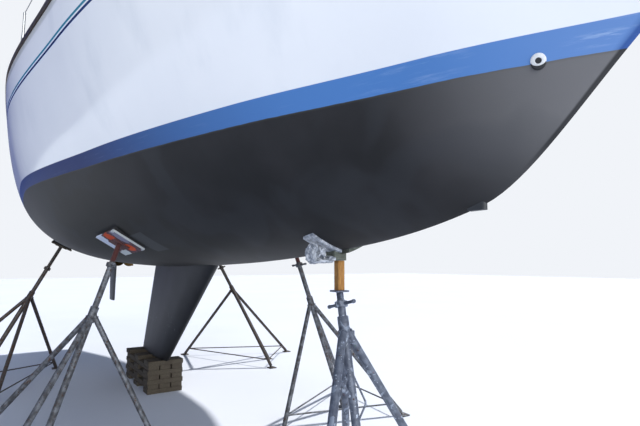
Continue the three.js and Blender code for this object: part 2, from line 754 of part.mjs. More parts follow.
// Cockpit tub with its seats, coamings and lockers
const LOCKER = { front: -2250, back: -3450, inner: 470, outer: 900, depth: 330 };
const tubOuter = box(COCKPIT.back, COCKPIT.front, -COCKPIT.halfWidth, COCKPIT.halfWidth, tubBottom, seatZ);
const coamings = [1, -1].map((sign) => {
  const outer = sign * COCKPIT.halfWidth;
  const inner = sign * (COCKPIT.halfWidth - COAMING.width);
  const [y0, y1] = [Math.min(outer, inner), Math.max(outer, inner)];
  return box(COCKPIT.back, COCKPIT.front, y0, y1, seatZ - 5, seatZ + COAMING.height);
});
const lockerHolds = [1, -1].map((sign) => {
  const ys = [sign * LOCKER.inner, sign * LOCKER.outer].sort((a, b) => a - b);
  return box(LOCKER.back + 20, LOCKER.front - 20, ys[0] + 20, ys[1] - 20, seatZ - LOCKER.depth, seatZ + 10);
});
const well = box(
  COCKPIT.back + TUB_WALL * 2,
  COCKPIT.front - TUB_WALL,
  -COCKPIT.wellHalf,
  COCKPIT.wellHalf,
  wellZ,
  seatZ + 10,
);
const tubDoor = box(
  COCKPIT.front - TUB_WALL - 5,
  COCKPIT.front + 5,
  -DOORWAY.halfWidth + 20,
  DOORWAY.halfWidth - 20,
  wellZ + DOORWAY.sillRise,
  seatZ + 10,
);
const HELM_SEAT_LENGTH = 420;
const helmSeat = box(
  COCKPIT.back + TUB_WALL,
  COCKPIT.back + HELM_SEAT_LENGTH,
  -COCKPIT.wellHalf - 5,
  COCKPIT.wellHalf + 5,
  wellZ - 5,
  seatZ,
);
const tubCuts = union([...lockerHolds, tubDoor]);
const tub = union([tubOuter.subtract(well), ...coamings, helmSeat]).subtract(tubCuts);
add("cockpit_tub", tub, "gelcoat");

// Locker lids on the seats, hinged at their outboard edge
const LID_THICKNESS = 22;
for (const [side, sign] of [["port", 1], ["starboard", -1]]) {
  const ys = [sign * LOCKER.inner, sign * LOCKER.outer].sort((a, b) => a - b);
  const lid = box(LOCKER.back, LOCKER.front, ys[0], ys[1], seatZ + 1, seatZ + 1 + LID_THICKNESS);
  add(`locker_lid_${side}`, lid, "deck");
}

// Steering pedestal and wheel
const PEDESTAL_X = -3600;
const WHEEL = { x: -3745, z: wellZ + 905, radius: 405 };
const pedestal = union([
  bar([PEDESTAL_X, 0, wellZ + FIT_GAP], [PEDESTAL_X, 0, wellZ + 880], 82, 16, 62),
  box(PEDESTAL_X - 110, PEDESTAL_X + 90, -85, 85, wellZ + 860, wellZ + 1010),
]);
add("steering_pedestal", pedestal, "gelcoat");
const rim = new THREE.TorusGeometry(WHEEL.radius, 13, 8, 36);
rim.rotateY(Math.PI / 2);
const spokes = [bar([-22, 0, 0], [28, 0, 0], 38, 14)];
for (let i = 0; i < 5; i += 1) {
  const turn = Math.PI / 2 + (i / 5) * Math.PI * 2;
  spokes.push(bar([0, 0, 0], [0, WHEEL.radius * Math.cos(turn), WHEEL.radius * Math.sin(turn)], 7, 6));
}
add("steering_wheel", union([toSolid(rim), ...spokes]).translate([WHEEL.x, 0, WHEEL.z]), "stainless");

// Rudder with its stock
const RUDDER = { topFront: -4790, topBack: -5480, footFront: -4850, footBack: -5330, footZ: 1010 };
const rudderTop = bottomZ(RUDDER.topFront, 0) - 24;
const blade = loft([
  finRing(RUDDER.topFront, RUDDER.topBack, rudderTop, 0.13),
  finRing(RUDDER.footFront, RUDDER.footBack, RUDDER.footZ, 0.12),
]);
const stockTop = bottomZ(RUDDER_X, 0) + 160;
const stock = bar([RUDDER_X, 0, rudderTop - 200], [RUDDER_X, 0, stockTop], STOCK_RADIUS, 20);
add("rudder", blade.add(stock), "antifouling");

// Propeller shaft, its bracket and the propeller
const SHAFT_TILT = THREE.MathUtils.degToRad(10);
const PROPELLER = { x: -4080, z: bottomZ(-4080, 0) - 285, radius: 205 };
const shaftAt = (x) => [x, 0, PROPELLER.z + (x - PROPELLER.x) * Math.tan(SHAFT_TILT)];
const shaftBar = bar(shaftAt(PROPELLER.x + 64), shaftAt(-2700), 15, 12);
const bracketTop = bottomZ(-3850, 0) + 60;
const bracket = union([
  bar(shaftAt(-3900), shaftAt(-3790), 34, 12),
  box(-3885, -3805, -11, 11, shaftAt(-3850)[2], bracketTop),
]);
add("propeller_shaft", shaftBar.add(bracket).subtract(hullBelow), "bronze");
function propeller() {
  const blades = [turned([[0, -62], [28, -55], [36, 10], [34, 58], [0, 60]], 16)];
  for (let i = 0; i < 3; i += 1) {
    const outline = new THREE.Shape();
    outline.moveTo(-24, 20);
    outline.bezierCurveTo(-80, 90, -78, 190, -10, PROPELLER.radius);
    outline.bezierCurveTo(70, 200, 84, 90, 24, 20);
    const plate = new THREE.ExtrudeGeometry(outline, { depth: 9, bevelEnabled: false, curveSegments: 6 });
    plate.translate(0, 0, -4.5);
    plate.rotateY(THREE.MathUtils.degToRad(28));
    plate.rotateZ((i * 2 * Math.PI) / 3);
    blades.push(toSolid(plate));
  }
  const whole = union(blades);
  const tilt = whole.rotate([0, 90, 0]).rotate([0, -THREE.MathUtils.radToDeg(SHAFT_TILT), 0]);
  return tilt.translate([PROPELLER.x, 0, PROPELLER.z]);
}
add("propeller", propeller(), "bronze");

// Engine block, in its bay under the cockpit
const ENGINE = { front: -1800, back: -2650, halfWidth: 240, height: 560 };
add(
  "engine_block",
  box(
    ENGINE.back,
    ENGINE.front,
    -ENGINE.halfWidth,
    ENGINE.halfWidth,
    engineBay.floorZ + FIT_GAP,
    engineBay.floorZ + ENGINE.height,
  ),
  "engine",
);

// Saloon berths, table and steps, seen through the windows and the companionway
const seatTop = SALOON.floorZ + 400;
const joinery = union([
  box(SALOON.back + 320, SALOON.front - 60, -880, 880, SALOON.floorZ + FIT_GAP, SALOON.floorZ + 25),
  box(-900, 1500, -880, -480, SALOON.floorZ + 20, seatTop),
  box(-900, 1500, 480, 880, SALOON.floorZ + 20, seatTop),
  box(-250, -180, -30, 30, SALOON.floorZ + 20, SALOON.floorZ + 680),
  box(800, 870, -30, 30, SALOON.floorZ + 20, SALOON.floorZ + 680),
  box(-350, 1000, -230, 230, SALOON.floorZ + 670, SALOON.floorZ + 700),
]);
add("saloon_joinery", joinery, "joinery");
const STEPS = { count: 4, rise: 200, going: 70, length: 300, halfWidth: 230 };
const steps = [];
for (let i = 0; i < STEPS.count; i += 1) {
  const front = SALOON.back + STEPS.length - i * STEPS.going;
  const low = SALOON.floorZ + FIT_GAP + i * STEPS.rise;
  const high = SALOON.floorZ + (i + 1) * STEPS.rise + 1;
  steps.push(box(SALOON.back + 3, front, -STEPS.halfWidth, STEPS.halfWidth, low, high));
}
add("companionway_steps", union(steps), "joinery");

// Bulkhead at the saloon's front with its doorway
const bulkheadTop = deckEdge(BULKHEAD.back)[2] - 3;
const bulkheadHalf = SALOON.halfWidth - FIT_GAP;
const bulkheadLow = SALOON.floorZ + FIT_GAP;
const bulkhead = union([
  box(BULKHEAD.back, BULKHEAD.front, -bulkheadHalf, bulkheadHalf, bulkheadLow, bulkheadTop),
  box(BULKHEAD.back, BULKHEAD.front, -SALOON.halfWidth, SALOON.halfWidth, bulkheadTop - 1, 5000).intersect(
    cabinForm(CABIN_WALL + 2, SKIRT),
  ),
]).subtract(
  box(
    BULKHEAD.back - 1,
    BULKHEAD.front + 1,
    -BULKHEAD.doorHalf,
    BULKHEAD.doorHalf,
    FORECABIN.floorZ,
    BULKHEAD.doorTop,
  ),
);
add("saloon_bulkhead", bulkhead, "joinery");

// Fore hatch, saloon hatch, sliding hatch, washboard and anchor locker lid
function hatchLid(centre, half, z) {
  return union([
    box(centre - half - 12, centre + half + 12, -half - 12, half + 12, z + 1.5, z + 28),
    box(centre - half + 60, centre + half - 60, -half + 60, half - 60, z + 27, z + 36),
  ]);
}
add("fore_hatch_lid", hatchLid(FORE_HATCH.x, FORE_HATCH.half, foreFrameZ), "glass");
add("saloon_hatch_lid", hatchLid(SALOON_HATCH.x, SALOON_HATCH.half, hatchFrameZ), "glass");
const slideLow = slideZ - 8;
const slideHigh = slideLow + SLIDE.thickness;
const slide = box(SLIDE.back, SLIDE.front, -SLIDE.halfWidth, SLIDE.halfWidth, slideLow, slideHigh);
add("sliding_hatch", slide, "gelcoat");
const boardTop = slideZ - 16;
const washboard = box(
  CABIN_AFT + 8,
  CABIN_AFT + 30,
  -DOORWAY.halfWidth + 22,
  DOORWAY.halfWidth - 22,
  wellZ + DOORWAY.sillRise + 40,
  boardTop,
);
add("washboard", washboard.subtract(cabinShell), "joinery");
const anchorLidSolid = moved(deckForm, 0, 0, 20)
  .intersect(box(anchorLid.x0, anchorLid.x1, -anchorLid.half, anchorLid.half, 3900, 4400))
  .subtract(moved(deckForm, 0, 0, 2));
add("anchor_locker_lid", anchorLidSolid, "deck");

// Mast with its spreaders
const mastFoot = roofZ(MAST.x) + STEP.rise + FIT_GAP;
const mastTop = mastFoot + MAST.length;
const SPREADERS = [
  { share: 0.34, half: 1050, sweep: 160 },
  { share: 0.67, half: 800, sweep: 120 },
];
function mastRing(z, scale) {
  const ring = [];
  for (let i = 0; i < 14; i += 1) {
    const turn = (i / 14) * Math.PI * 2;
    ring.push([MAST.x + MAST.halfX * scale * Math.cos(turn), MAST.halfY * scale * Math.sin(turn), z]);
  }
  return ring;
}
const mastParts = [loft([mastRing(mastFoot, 1), mastRing(mastTop - 1600, 1), mastRing(mastTop, 0.72)])];
const spreaderTips = [];
for (const row of SPREADERS) {
  const z = mastFoot + MAST.length * row.share;
  for (const sign of [1, -1]) {
    const tip = [MAST.x - row.sweep, sign * row.half, z + 40];
    mastParts.push(bar([MAST.x, 0, z], tip, 26, 8, 16));
    spreaderTips.push(tip);
  }
}
mastParts.push(box(MAST.x - 190, MAST.x + 150, -22, 22, mastTop - 40, mastTop + 12));
add("mast", union(mastParts), "alloy");

// Boom with its gooseneck strap and vang, and the cover over the stowed mainsail
const boomZ = mastFoot + BOOM.drop;
const HINGE_X = MAST.x - MAST.halfX - 34;
const boomEnd = HINGE_X - BOOM.length;
function boomRing(x, scale = 1) {
  const ring = [];
  for (let i = 0; i < 12; i += 1) {
    const turn = (i / 12) * Math.PI * 2;
    ring.push([x, scale * BOOM.halfY * Math.cos(turn), boomZ + scale * BOOM.halfZ * Math.sin(turn)]);
  }
  return ring;
}
const vangTop = [HINGE_X - 1050, 0, boomZ - BOOM.halfZ + 10];
const vangFoot = [HINGE_X - 20, 0, mastFoot + 150];
const boomSolid = union([
  loft([boomRing(boomEnd), boomRing(HINGE_X - 40)]),
  box(HINGE_X - 60, HINGE_X + 12, -14, 14, boomZ - 30, boomZ + 30),
  bar(vangFoot, vangTop, 20, 10),
  bar([HINGE_X, 0, mastFoot + 130], [HINGE_X, 0, mastFoot + 185], 16, 10),
  bar([HINGE_X, 0, mastFoot + 160], vangFoot, 16, 8),
]);
add("boom", boomSolid, "alloy");
const COVER_TABLE = [
  { share: 0.015, low: 10, high: 430, half: 105 },
  { share: 0.1, low: -40, high: 395, half: 150 },
  { share: 0.3, low: -55, high: 330, half: 155 },
  { share: 0.6, low: -55, high: 270, half: 140 },
  { share: 0.9, low: -50, high: 205, half: 115 },
  { share: 0.975, low: -20, high: 170, half: 85 },
];
function coverRing(row) {
  const x = HINGE_X - 60 - row.share * (BOOM.length - 60);
  const ring = [];
  const middle = (row.low + row.high) / 2;
  for (let i = 0; i < 14; i += 1) {
    const turn = (i / 14) * Math.PI * 2;
    const y = row.half * Math.cos(turn) * (1 - 0.35 * Math.max(Math.sin(turn), 0));
    ring.push([x, y, boomZ + middle + ((row.high - row.low) / 2) * Math.sin(turn)]);
  }
  return ring;
}
const coverBore = loft([boomEnd - 200, HINGE_X - 10].map((x) => boomRing(x, 1.03)));
add("mainsail_cover", loft(COVER_TABLE.map(coverRing)).subtract(coverBore), "canvas");

// Stays. Each runs between real fittings.
const STAY_RADIUS = 5;
const stemHead = [BOW_X - 90, 0, deckZ(BOW_X - 300) + 70];
const masthead = [MAST.x + 140, 0, mastTop - 60];
const stayAt = (share) => stemHead.map((v, i) => v + (masthead[i] - v) * share);
const mastSolid = union(mastParts);
add("forestay", bar(stemHead, masthead, STAY_RADIUS, 8).subtract(mastSolid), "stainless");
function furledRing([share, radius]) {
  const centre = stayAt(share);
  const ring = [];
  for (let i = 0; i < 14; i += 1) {
    const turn = (i / 14) * Math.PI * 2;
    ring.push([centre[0] + radius * Math.cos(turn), radius * Math.sin(turn), centre[2]]);
  }
  return ring;
}
// Share along the stay, radius
const ROLL_TABLE = [[0.055, 26], [0.06, 62], [0.3, 74], [0.6, 60], [0.9, 34], [0.94, 22]];
const DRUM_TABLE = [
  [0.034, 40], [0.036, 78], [0.039, 78], [0.041, 30], [0.046, 30],
  [0.048, 78], [0.051, 78], [0.053, 34], [0.056, 30],
];
const furledRoll = loft(ROLL_TABLE.map(furledRing));
const furlDrum = loft(DRUM_TABLE.map(furledRing));
const stayHole = bar(stayAt(0.02), stayAt(0.97), STAY_RADIUS + 3, 8);
add("furled_genoa", furledRoll.add(furlDrum).subtract(stayHole), "sailcloth");

const BACKSTAY_X = BOW_X - HULL_LENGTH + 420;
const backFoot = [BACKSTAY_X, 0, deckZ(BACKSTAY_X) + 2];
const backHead = [MAST.x - 185, 0, mastTop - 20];
add(
  "backstay",
  union([
    bar(backFoot, backHead, STAY_RADIUS, 8),
    box(backFoot[0] - 30, backFoot[0] + 30, -12, 12, backFoot[2] - 1, backFoot[2] + 60),
  ]).subtract(union([mastParts[mastParts.length - 1], deckSolid.translate([0, 0, FIT_GAP])])),
  "stainless",
);

const CHAINPLATE = { x: MAST.x - 160, inset: 150 };
for (const [side, sign] of [["port", 1], ["starboard", -1]]) {
  const edge = deckEdge(CHAINPLATE.x)[1] - CHAINPLATE.inset;
  const foot = [CHAINPLATE.x, sign * edge, deckZ(CHAINPLATE.x, edge) + 2];
  const tips = spreaderTips.filter((tip) => tip[1] * sign > 0).map(([x, y, z]) => [x, y + sign * 24, z]);
  const head = [MAST.x - 20, sign * 64, mastTop - 120];
  const cap = union([
    bar(foot, tips[0], STAY_RADIUS, 6),
    bar(tips[0], tips[1], STAY_RADIUS, 6),
    bar(tips[1], head, STAY_RADIUS, 6),
    box(foot[0] - 34, foot[0] + 34, foot[1] - 10, foot[1] + 10, foot[2] - 1.5, foot[2] + 60),
  ]);
  add(`cap_shroud_${side}`, onDeck(cap.subtract(mastSolid)), "stainless");
  for (const [label, shift] of [["forward", 520], ["aft", -480]]) {
    const x = CHAINPLATE.x + shift;
    const y = deckEdge(x)[1] - CHAINPLATE.inset - 10;
    const start = [x, sign * y, deckZ(x, y) + 2];
    const topZ = mastFoot + MAST.length * SPREADERS[0].share - 90;
    const end = [MAST.x + Math.sign(shift) * 40, sign * 66, topZ];
    const lower = union([
      bar(start, end, STAY_RADIUS, 6),
      box(start[0] - 24, start[0] + 24, start[1] - 9, start[1] + 9, start[2] - 1.5, start[2] + 50),
    ]);
    add(`lower_shroud_${label}_${side}`, onDeck(lower.subtract(mastSolid)), "stainless");
  }
}

// Pulpit, pushpit and guard rails
const RAIL_HEIGHT = 610;
const TUBE = 12.5;
const railFoot = (x, inset) => {
  const y = deckEdge(x)[1] - inset;
  return [x, y, deckZ(x, y) + 1];
};
function mirrored([x, y, z]) {
  return [x, -y, z];
}
const pulpitFeet = [railFoot(5350, 80), railFoot(4550, 90)];
const noseRail = [BOW_X - 60, 120, pulpitFeet[0][2] + RAIL_HEIGHT + 20];
const bowRail = [
  [pulpitFeet[1][0], pulpitFeet[1][1], pulpitFeet[1][2] + RAIL_HEIGHT],
  [pulpitFeet[0][0], pulpitFeet[0][1] + 40, pulpitFeet[0][2] + RAIL_HEIGHT + 10],
  noseRail,
  mirrored(noseRail),
  [pulpitFeet[0][0], -pulpitFeet[0][1] - 40, pulpitFeet[0][2] + RAIL_HEIGHT + 10],
  [pulpitFeet[1][0], -pulpitFeet[1][1], pulpitFeet[1][2] + RAIL_HEIGHT],
];
const pulpitParts = [pipe(bowRail, TUBE, 30)];
for (const sign of [1, -1]) {
  for (const [i, foot] of pulpitFeet.entries()) {
    const top = [foot[0], sign * (foot[1] + (i === 0 ? 40 : 0)), foot[2] + RAIL_HEIGHT + (i === 0 ? 10 : 0)];
    pulpitParts.push(bar([foot[0], sign * foot[1], foot[2]], top, TUBE, 8));
  }
}
add("pulpit", onDeck(union(pulpitParts)), "stainless");

const sternX = BOW_X - HULL_LENGTH + 470;
const pushpitFeet = [railFoot(-4700, 80), railFoot(sternX + 90, 110)];
const sternCorner = [sternX, pushpitFeet[1][1] - 180, pushpitFeet[1][2] + RAIL_HEIGHT];
const sternRail = [
  [pushpitFeet[0][0], pushpitFeet[0][1], pushpitFeet[0][2] + RAIL_HEIGHT],
  [pushpitFeet[1][0] + 80, pushpitFeet[1][1] + 10, pushpitFeet[1][2] + RAIL_HEIGHT],
  sternCorner,
  [sternX - 20, 0, sternCorner[2]],
  mirrored(sternCorner),
  [pushpitFeet[1][0] + 80, -pushpitFeet[1][1] - 10, pushpitFeet[1][2] + RAIL_HEIGHT],
  [pushpitFeet[0][0], -pushpitFeet[0][1], pushpitFeet[0][2] + RAIL_HEIGHT],
];
const pushpitParts = [pipe(sternRail, TUBE, 36)];
for (const sign of [1, -1]) {
  const [front, back] = pushpitFeet;
  const frontTop = [front[0], sign * front[1], front[2] + RAIL_HEIGHT];
  pushpitParts.push(bar([front[0], sign * front[1], front[2]], frontTop, TUBE));
  const corner = [back[0] + 80, sign * (back[1] + 10), back[2] + RAIL_HEIGHT];
  pushpitParts.push(bar([back[0] + 80, sign * back[1], back[2]], corner, TUBE));
  const inner = [sternX, sign * sternCorner[1], deckZ(sternX, sternCorner[1]) + 1];
  pushpitParts.push(bar(inner, [sternX, sign * sternCorner[1], sternCorner[2]], TUBE));
}
add("pushpit", onDeck(union(pushpitParts)), "stainless");

const STANCHIONS = [3050, 1550, -50, -1650, -3200];
for (const [side, sign] of [["port", 1], ["starboard", -1]]) {
  const parts = [];
  const tops = [];
  for (const x of STANCHIONS) {
    const [px, py, pz] = railFoot(x, 85);
    tops.push([px, sign * py, pz]);
    parts.push(bar([px, sign * py, pz], [px, sign * py, pz + RAIL_HEIGHT], TUBE));
    parts.push(bar([px, sign * py, pz], [px, sign * py, pz + 26], 34, 10));
  }
  const first = pulpitFeet[1];
  const last = pushpitFeet[0];
  const ends = [
    [first[0] - 30, sign * first[1], first[2]],
    [last[0] + 30, sign * last[1], last[2]],
  ];
  const line = [ends[0], ...tops, ends[1]];
  for (const height of [300, RAIL_HEIGHT - 12]) {
    for (let i = 0; i < line.length - 1; i += 1) {
      const a = [line[i][0], line[i][1], line[i][2] + height];
      const b = [line[i + 1][0], line[i + 1][1], line[i + 1][2] + height];
      parts.push(bar(a, b, 4, 6));
    }
  }
  add(`guard_rail_${side}`, onDeck(union(parts)), "stainless");
}

// Bow roller and anchor
const rollerX = BOW_X + ROLLER_REACH;
const rollerZ = deckZ(BOW_X - 400) + 30;
const roller = union([
  box(BOW_X - 330, rollerX, 40, 48, rollerZ, rollerZ + 60),
  box(BOW_X - 330, rollerX, 112, 120, rollerZ, rollerZ + 60),
  box(BOW_X - 330, rollerX - 110, 40, 120, rollerZ - 8, rollerZ + 1),
  bar([rollerX - 45, 44, rollerZ + 30], [rollerX - 45, 116, rollerZ + 30], 32, 14),
]);
add("bow_roller", roller.subtract(moved(deckForm, 0, 0, FIT_GAP)), "stainless");

// Winches on the coamings
const winchProfile = [
  [0, 0],
  [72, 0],
  [72, 14],
  [54, 26],
  [46, 70],
  [50, 110],
  [66, 124],
  [66, 150],
  [0, 152],
];
for (const [side, sign] of [["port", 1], ["starboard", -1]]) {
  const y = sign * (COCKPIT.halfWidth - COAMING.width / 2);
  const winch = moved(turned(winchProfile, 20), -3000, y, seatZ + COAMING.height + FIT_GAP);
  add(`winch_${side}`, winch, "stainless");
}

// Sprayhood over the companionway
const HOOD = { front: -520, back: -1840, half: 980, rise: 560 };
function hoodRing(share, inset) {
  const x = HOOD.front + (HOOD.back - HOOD.front) * share;
  const rise = HOOD.rise * Math.sin(Math.min(0.12 + share * 1.15, 1) * Math.PI * 0.5) - inset;
  const half = HOOD.half * (0.82 + 0.16 * share) - inset;
  const foot = roofZ(HOOD.front) - 90;
  const ring = [];
  for (let i = 0; i <= 12; i += 1) {
    const turn = (i / 12) * Math.PI;
    const bulge = Math.sign(Math.cos(turn)) * Math.abs(Math.cos(turn)) ** 0.55;
    ring.push([x, half * bulge, foot + 60 + (rise + 30) * Math.abs(Math.sin(turn)) ** 0.7]);
  }
  ring.push([x, -half, foot], [x, half, foot]);
  return ring;
}
const hoodShares = [0, 0.2, 0.45, 0.72, 1];
const hoodOuter = loft(hoodShares.map((share) => hoodRing(share, 0)));
const hoodInner = loft([0.03, 0.2, 0.45, 0.72, 1.01].map((share) => hoodRing(share, 14)));
const hood = hoodOuter
  .subtract(hoodInner)
  .subtract(box(-3000, 0, -1200, 1200, 3000, roofZ(HOOD.front) - 40))
  .subtract(cabinForm(-1.5, 0))
  .subtract(union(runners));
add("sprayhood", hood, "canvas");

// Fittings on the bow: the outlet on the boot stripe and the sounder's fairing
function hullAt(x, z) {
  let low = 0;
  let high = 1;
  for (let i = 0; i < 40; i += 1) {
    const t = (low + high) / 2;
    if (hullPoint(shareAt(x), t)[2] < z) low = t;
    else high = t;
  }
  return hullPoint(shareAt(x), low);
}
const OUTLET = { x: 4636, z: BOOT_Z + 10 };
const outletAt = hullAt(OUTLET.x, OUTLET.z);
const outletAft = hullAt(OUTLET.x - 60, OUTLET.z);
const heading = Math.atan2(outletAft[1] - outletAt[1], 60);
const outletDir = [Math.sin(heading), -Math.cos(heading)];
const outletRing = bar(
  [outletAt[0] - outletDir[0] * 20, -outletAt[1] - outletDir[1] * 20, OUTLET.z],
  [outletAt[0] + outletDir[0] * 9, -outletAt[1] + outletDir[1] * 9, OUTLET.z],
  31,
  24,
);
const outletHole = bar(
  [outletAt[0] - outletDir[0] * 40, -outletAt[1] - outletDir[1] * 40, OUTLET.z],
  [outletAt[0] + outletDir[0] * 30, -outletAt[1] + outletDir[1] * 30, OUTLET.z],
  13,
  18,
);
const hullOut = hullForm.translate([outletDir[0] * FIT_GAP, outletDir[1] * FIT_GAP, 0]);
add("bow_outlet", outletRing.subtract(outletHole).subtract(hullForm).subtract(hullOut), "gelcoat");
const FAIRING = { front: 4238, back: 4132, half: 17, z: 2029 };
const fairing = union([
  box(FAIRING.back, FAIRING.front - FAIRING.half, -FAIRING.half, FAIRING.half, FAIRING.z, 2150),
  bar(
    [FAIRING.front - FAIRING.half, 0, FAIRING.z],
    [FAIRING.front - FAIRING.half, 0, 2150],
    FAIRING.half,
    16,
  ),
]);
add("sounder_fairing", fairing.subtract(hullBelow).subtract(hullForm), "antifouling");

// Swim ladder folded up against the transom
const LADDER = { hingeZ: 2960, length: 700, halfWidth: 180 };
const transomX = (z) => BOW_X - HULL_LENGTH + TRANSOM_RAKE * (z - (BOOT_Z + hullColumn.keelZ(1)));
const ladderX = (z) => transomX(z) - 42;
const ladderTopZ = LADDER.hingeZ + LADDER.length;
const ladderParts = [];
for (const sign of [1, -1]) {
  const y = sign * LADDER.halfWidth;
  const hinge = [ladderX(LADDER.hingeZ), y, LADDER.hingeZ];
  ladderParts.push(bar(hinge, [ladderX(ladderTopZ), y, ladderTopZ], TUBE));
}
for (let i = 0; i < 3; i += 1) {
  const z = LADDER.hingeZ + 120 + i * 240;
  ladderParts.push(bar([ladderX(z), -LADDER.halfWidth, z], [ladderX(z), LADDER.halfWidth, z], 14, 8));
}
add("swim_ladder", union(ladderParts), "stainless");

export default yacht;
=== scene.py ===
# Looks of the sailing yacht hauled out ashore: hull paint, keel, rig, deck gear, stands and pads.
# Metres, in the row frame: +X is the bow, +Y is port, +Z is up, and the ground is at z = 0.
import json
import math

import bmesh
import bpy
import numpy as np
from mathutils import Matrix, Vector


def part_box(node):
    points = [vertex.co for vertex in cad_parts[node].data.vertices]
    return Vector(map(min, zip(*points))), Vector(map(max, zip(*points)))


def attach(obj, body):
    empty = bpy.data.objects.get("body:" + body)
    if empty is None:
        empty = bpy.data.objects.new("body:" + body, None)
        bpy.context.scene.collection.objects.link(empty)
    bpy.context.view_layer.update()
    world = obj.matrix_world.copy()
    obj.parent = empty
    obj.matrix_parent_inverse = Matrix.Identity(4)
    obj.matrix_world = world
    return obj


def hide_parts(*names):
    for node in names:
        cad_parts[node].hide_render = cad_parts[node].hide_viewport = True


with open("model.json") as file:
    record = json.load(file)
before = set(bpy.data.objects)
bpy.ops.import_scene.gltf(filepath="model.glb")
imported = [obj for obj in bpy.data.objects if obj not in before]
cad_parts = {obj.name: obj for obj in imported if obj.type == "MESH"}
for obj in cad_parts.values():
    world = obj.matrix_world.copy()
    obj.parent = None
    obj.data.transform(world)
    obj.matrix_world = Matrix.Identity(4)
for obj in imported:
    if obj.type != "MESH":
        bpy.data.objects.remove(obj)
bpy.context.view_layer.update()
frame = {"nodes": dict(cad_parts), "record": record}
RIG = "hull_and_rig"
BOTH = (("port", 1), ("starboard", -1))
UP = np.array([0, 0, 1.0])

# Hull, the same named values as the solids have
HULL_LENGTH = 11.94
BOW_X = 5.88
BOOT_Z = 2.595
STRIPE_TOP = 2.704
BILGE_REACH = 1.04
TRANSOM_RAKE = 0.34
RAKE_START = 0.84
DECK_EDGE = 0.014
CROWN_SHARE = 0.034
PAINT = 0.003

# Share of the length, half breadths sheer and bilge, heights sheer, keel and bilge, flat, rise
HULL_TABLE = np.array([
    (0.0, 26, 3, 1553, 1391, 1540, 0.31, 45),
    (0.035, 325, 118, 1529, 599, 1047, 0.31, 102),
    (0.08, 646, 310, 1495, 23, 666, 0.32, 143),
    (0.14, 983, 587, 1448, -543, 332, 0.3, 165),
    (0.23, 1372, 1009, 1377, -726, 6, 0.42, 125),
    (0.37, 1761, 1482, 1284, -827, -300, 0.53, 94),
    (0.55, 2046, 1820, 1191, -869, -546, 0.72, 42),
    (0.77, 1970, 1724, 1142, -613, -413, 0.76, 18),
    (1.0, 1526, 1250, 1166, 56, 45, 0.81, 2),
])
HULL_TABLE[:, [1, 2, 3, 4, 5, 7]] /= 1000


# Shapes as arrays

def monotone(xs, ys):
    """Monotone cubic through the points: each knot's slope is the weighted harmonic mean of its
    two neighbours' slopes, or nought where they differ in sign."""
    xs, ys = np.asarray(xs, float), np.asarray(ys, float)
    step = np.diff(xs)
    slope = np.diff(ys) / step
    w1, w2 = 2 * step[1:] + step[:-1], step[1:] + 2 * step[:-1]
    same = slope[:-1] * slope[1:] > 0
    safe = np.where(same[:, None], np.stack([slope[:-1], slope[1:]], 1), 1.0)
    inner = np.where(same, (w1 + w2) / (w1 / safe[:, 0] + w2 / safe[:, 1]), 0.0)

    def end(h0, h1, m0, m1):
        value = ((2 * h0 + h1) * m0 - h0 * m1) / (h0 + h1)
        if value * m0 <= 0:
            return 0.0
        return 3 * m0 if m0 * m1 <= 0 and abs(value) > 3 * abs(m0) else value

    if len(xs) > 2:
        ends = end(step[0], step[1], slope[0], slope[1]), end(step[-1], step[-2], slope[-1], slope[-2])
    else:
        ends = slope[0], slope[0]
    tangent = np.concatenate([[ends[0]], inner, [ends[1]]])

    def value(x):
        x = np.asarray(x, float)
        i = np.clip(np.searchsorted(xs, x, side="right") - 1, 0, len(xs) - 2)
        t = (x - xs[i]) / step[i]
        return (
            (1 + 2 * t) * (1 - t) ** 2 * ys[i] + t * (1 - t) ** 2 * step[i] * tangent[i]
            + t * t * (3 - 2 * t) * ys[i + 1] + t * t * (t - 1) * step[i] * tangent[i + 1]
        )

    return value


COLUMN = {
    key: monotone(HULL_TABLE[:, 0], HULL_TABLE[:, i + 1])
    for i, key in enumerate(("sheer", "bilge", "sheer_z", "keel_z", "bilge_z", "flat", "rise"))
}


def hull_points(s, t):
    """Half section: a cubic Bezier curve from the keel, t = 0, to the sheer, t = 1, whose
    corners come from the hull's table. The sections lean back towards the transom."""
    s, t = np.broadcast_arrays(np.asarray(s, float), np.asarray(t, float))
    c = {key: f(s) for key, f in COLUMN.items()}
    keel = BOOT_Z + c["keel_z"]
    ys = 0 * s, c["flat"] * c["bilge"], BILGE_REACH * c["bilge"], c["sheer"]
    zs = keel, keel + c["rise"], BOOT_Z + c["bilge_z"], BOOT_Z + c["sheer_z"]
    w = (1 - t) ** 3, 3 * (1 - t) ** 2 * t, 3 * (1 - t) * t * t, t ** 3
    y = sum(a * b for a, b in zip(w, ys))
    z = sum(a * b for a, b in zip(w, zs))
    r = np.clip((s - RAKE_START) / (1 - RAKE_START), 0, 1)
    rake = TRANSOM_RAKE * r * r * (3 - 2 * r)
    return np.stack([BOW_X - s * HULL_LENGTH + rake * (z - keel), y, z], -1)


def sheer_at(x):
    """Edge of the deck at x: five rounds of correcting s by the error in x."""
    x = np.asarray(x, float)
    s = (BOW_X - x) / HULL_LENGTH
    for _ in range(5):
        s = s + (hull_points(np.clip(s, 0, 1), 1.0)[..., 0] - x) / HULL_LENGTH
    return hull_points(np.clip(s, 0, 1), 1.0)


def deck_z(x, y=0.0):
    """Deck's upper face: the sheer's height plus a crown that falls off with the square of y."""
    edge = sheer_at(x)
    return edge[..., 2] + DECK_EDGE + 2 * edge[..., 1] * CROWN_SHARE * (1 - (y / edge[..., 1]) ** 2)


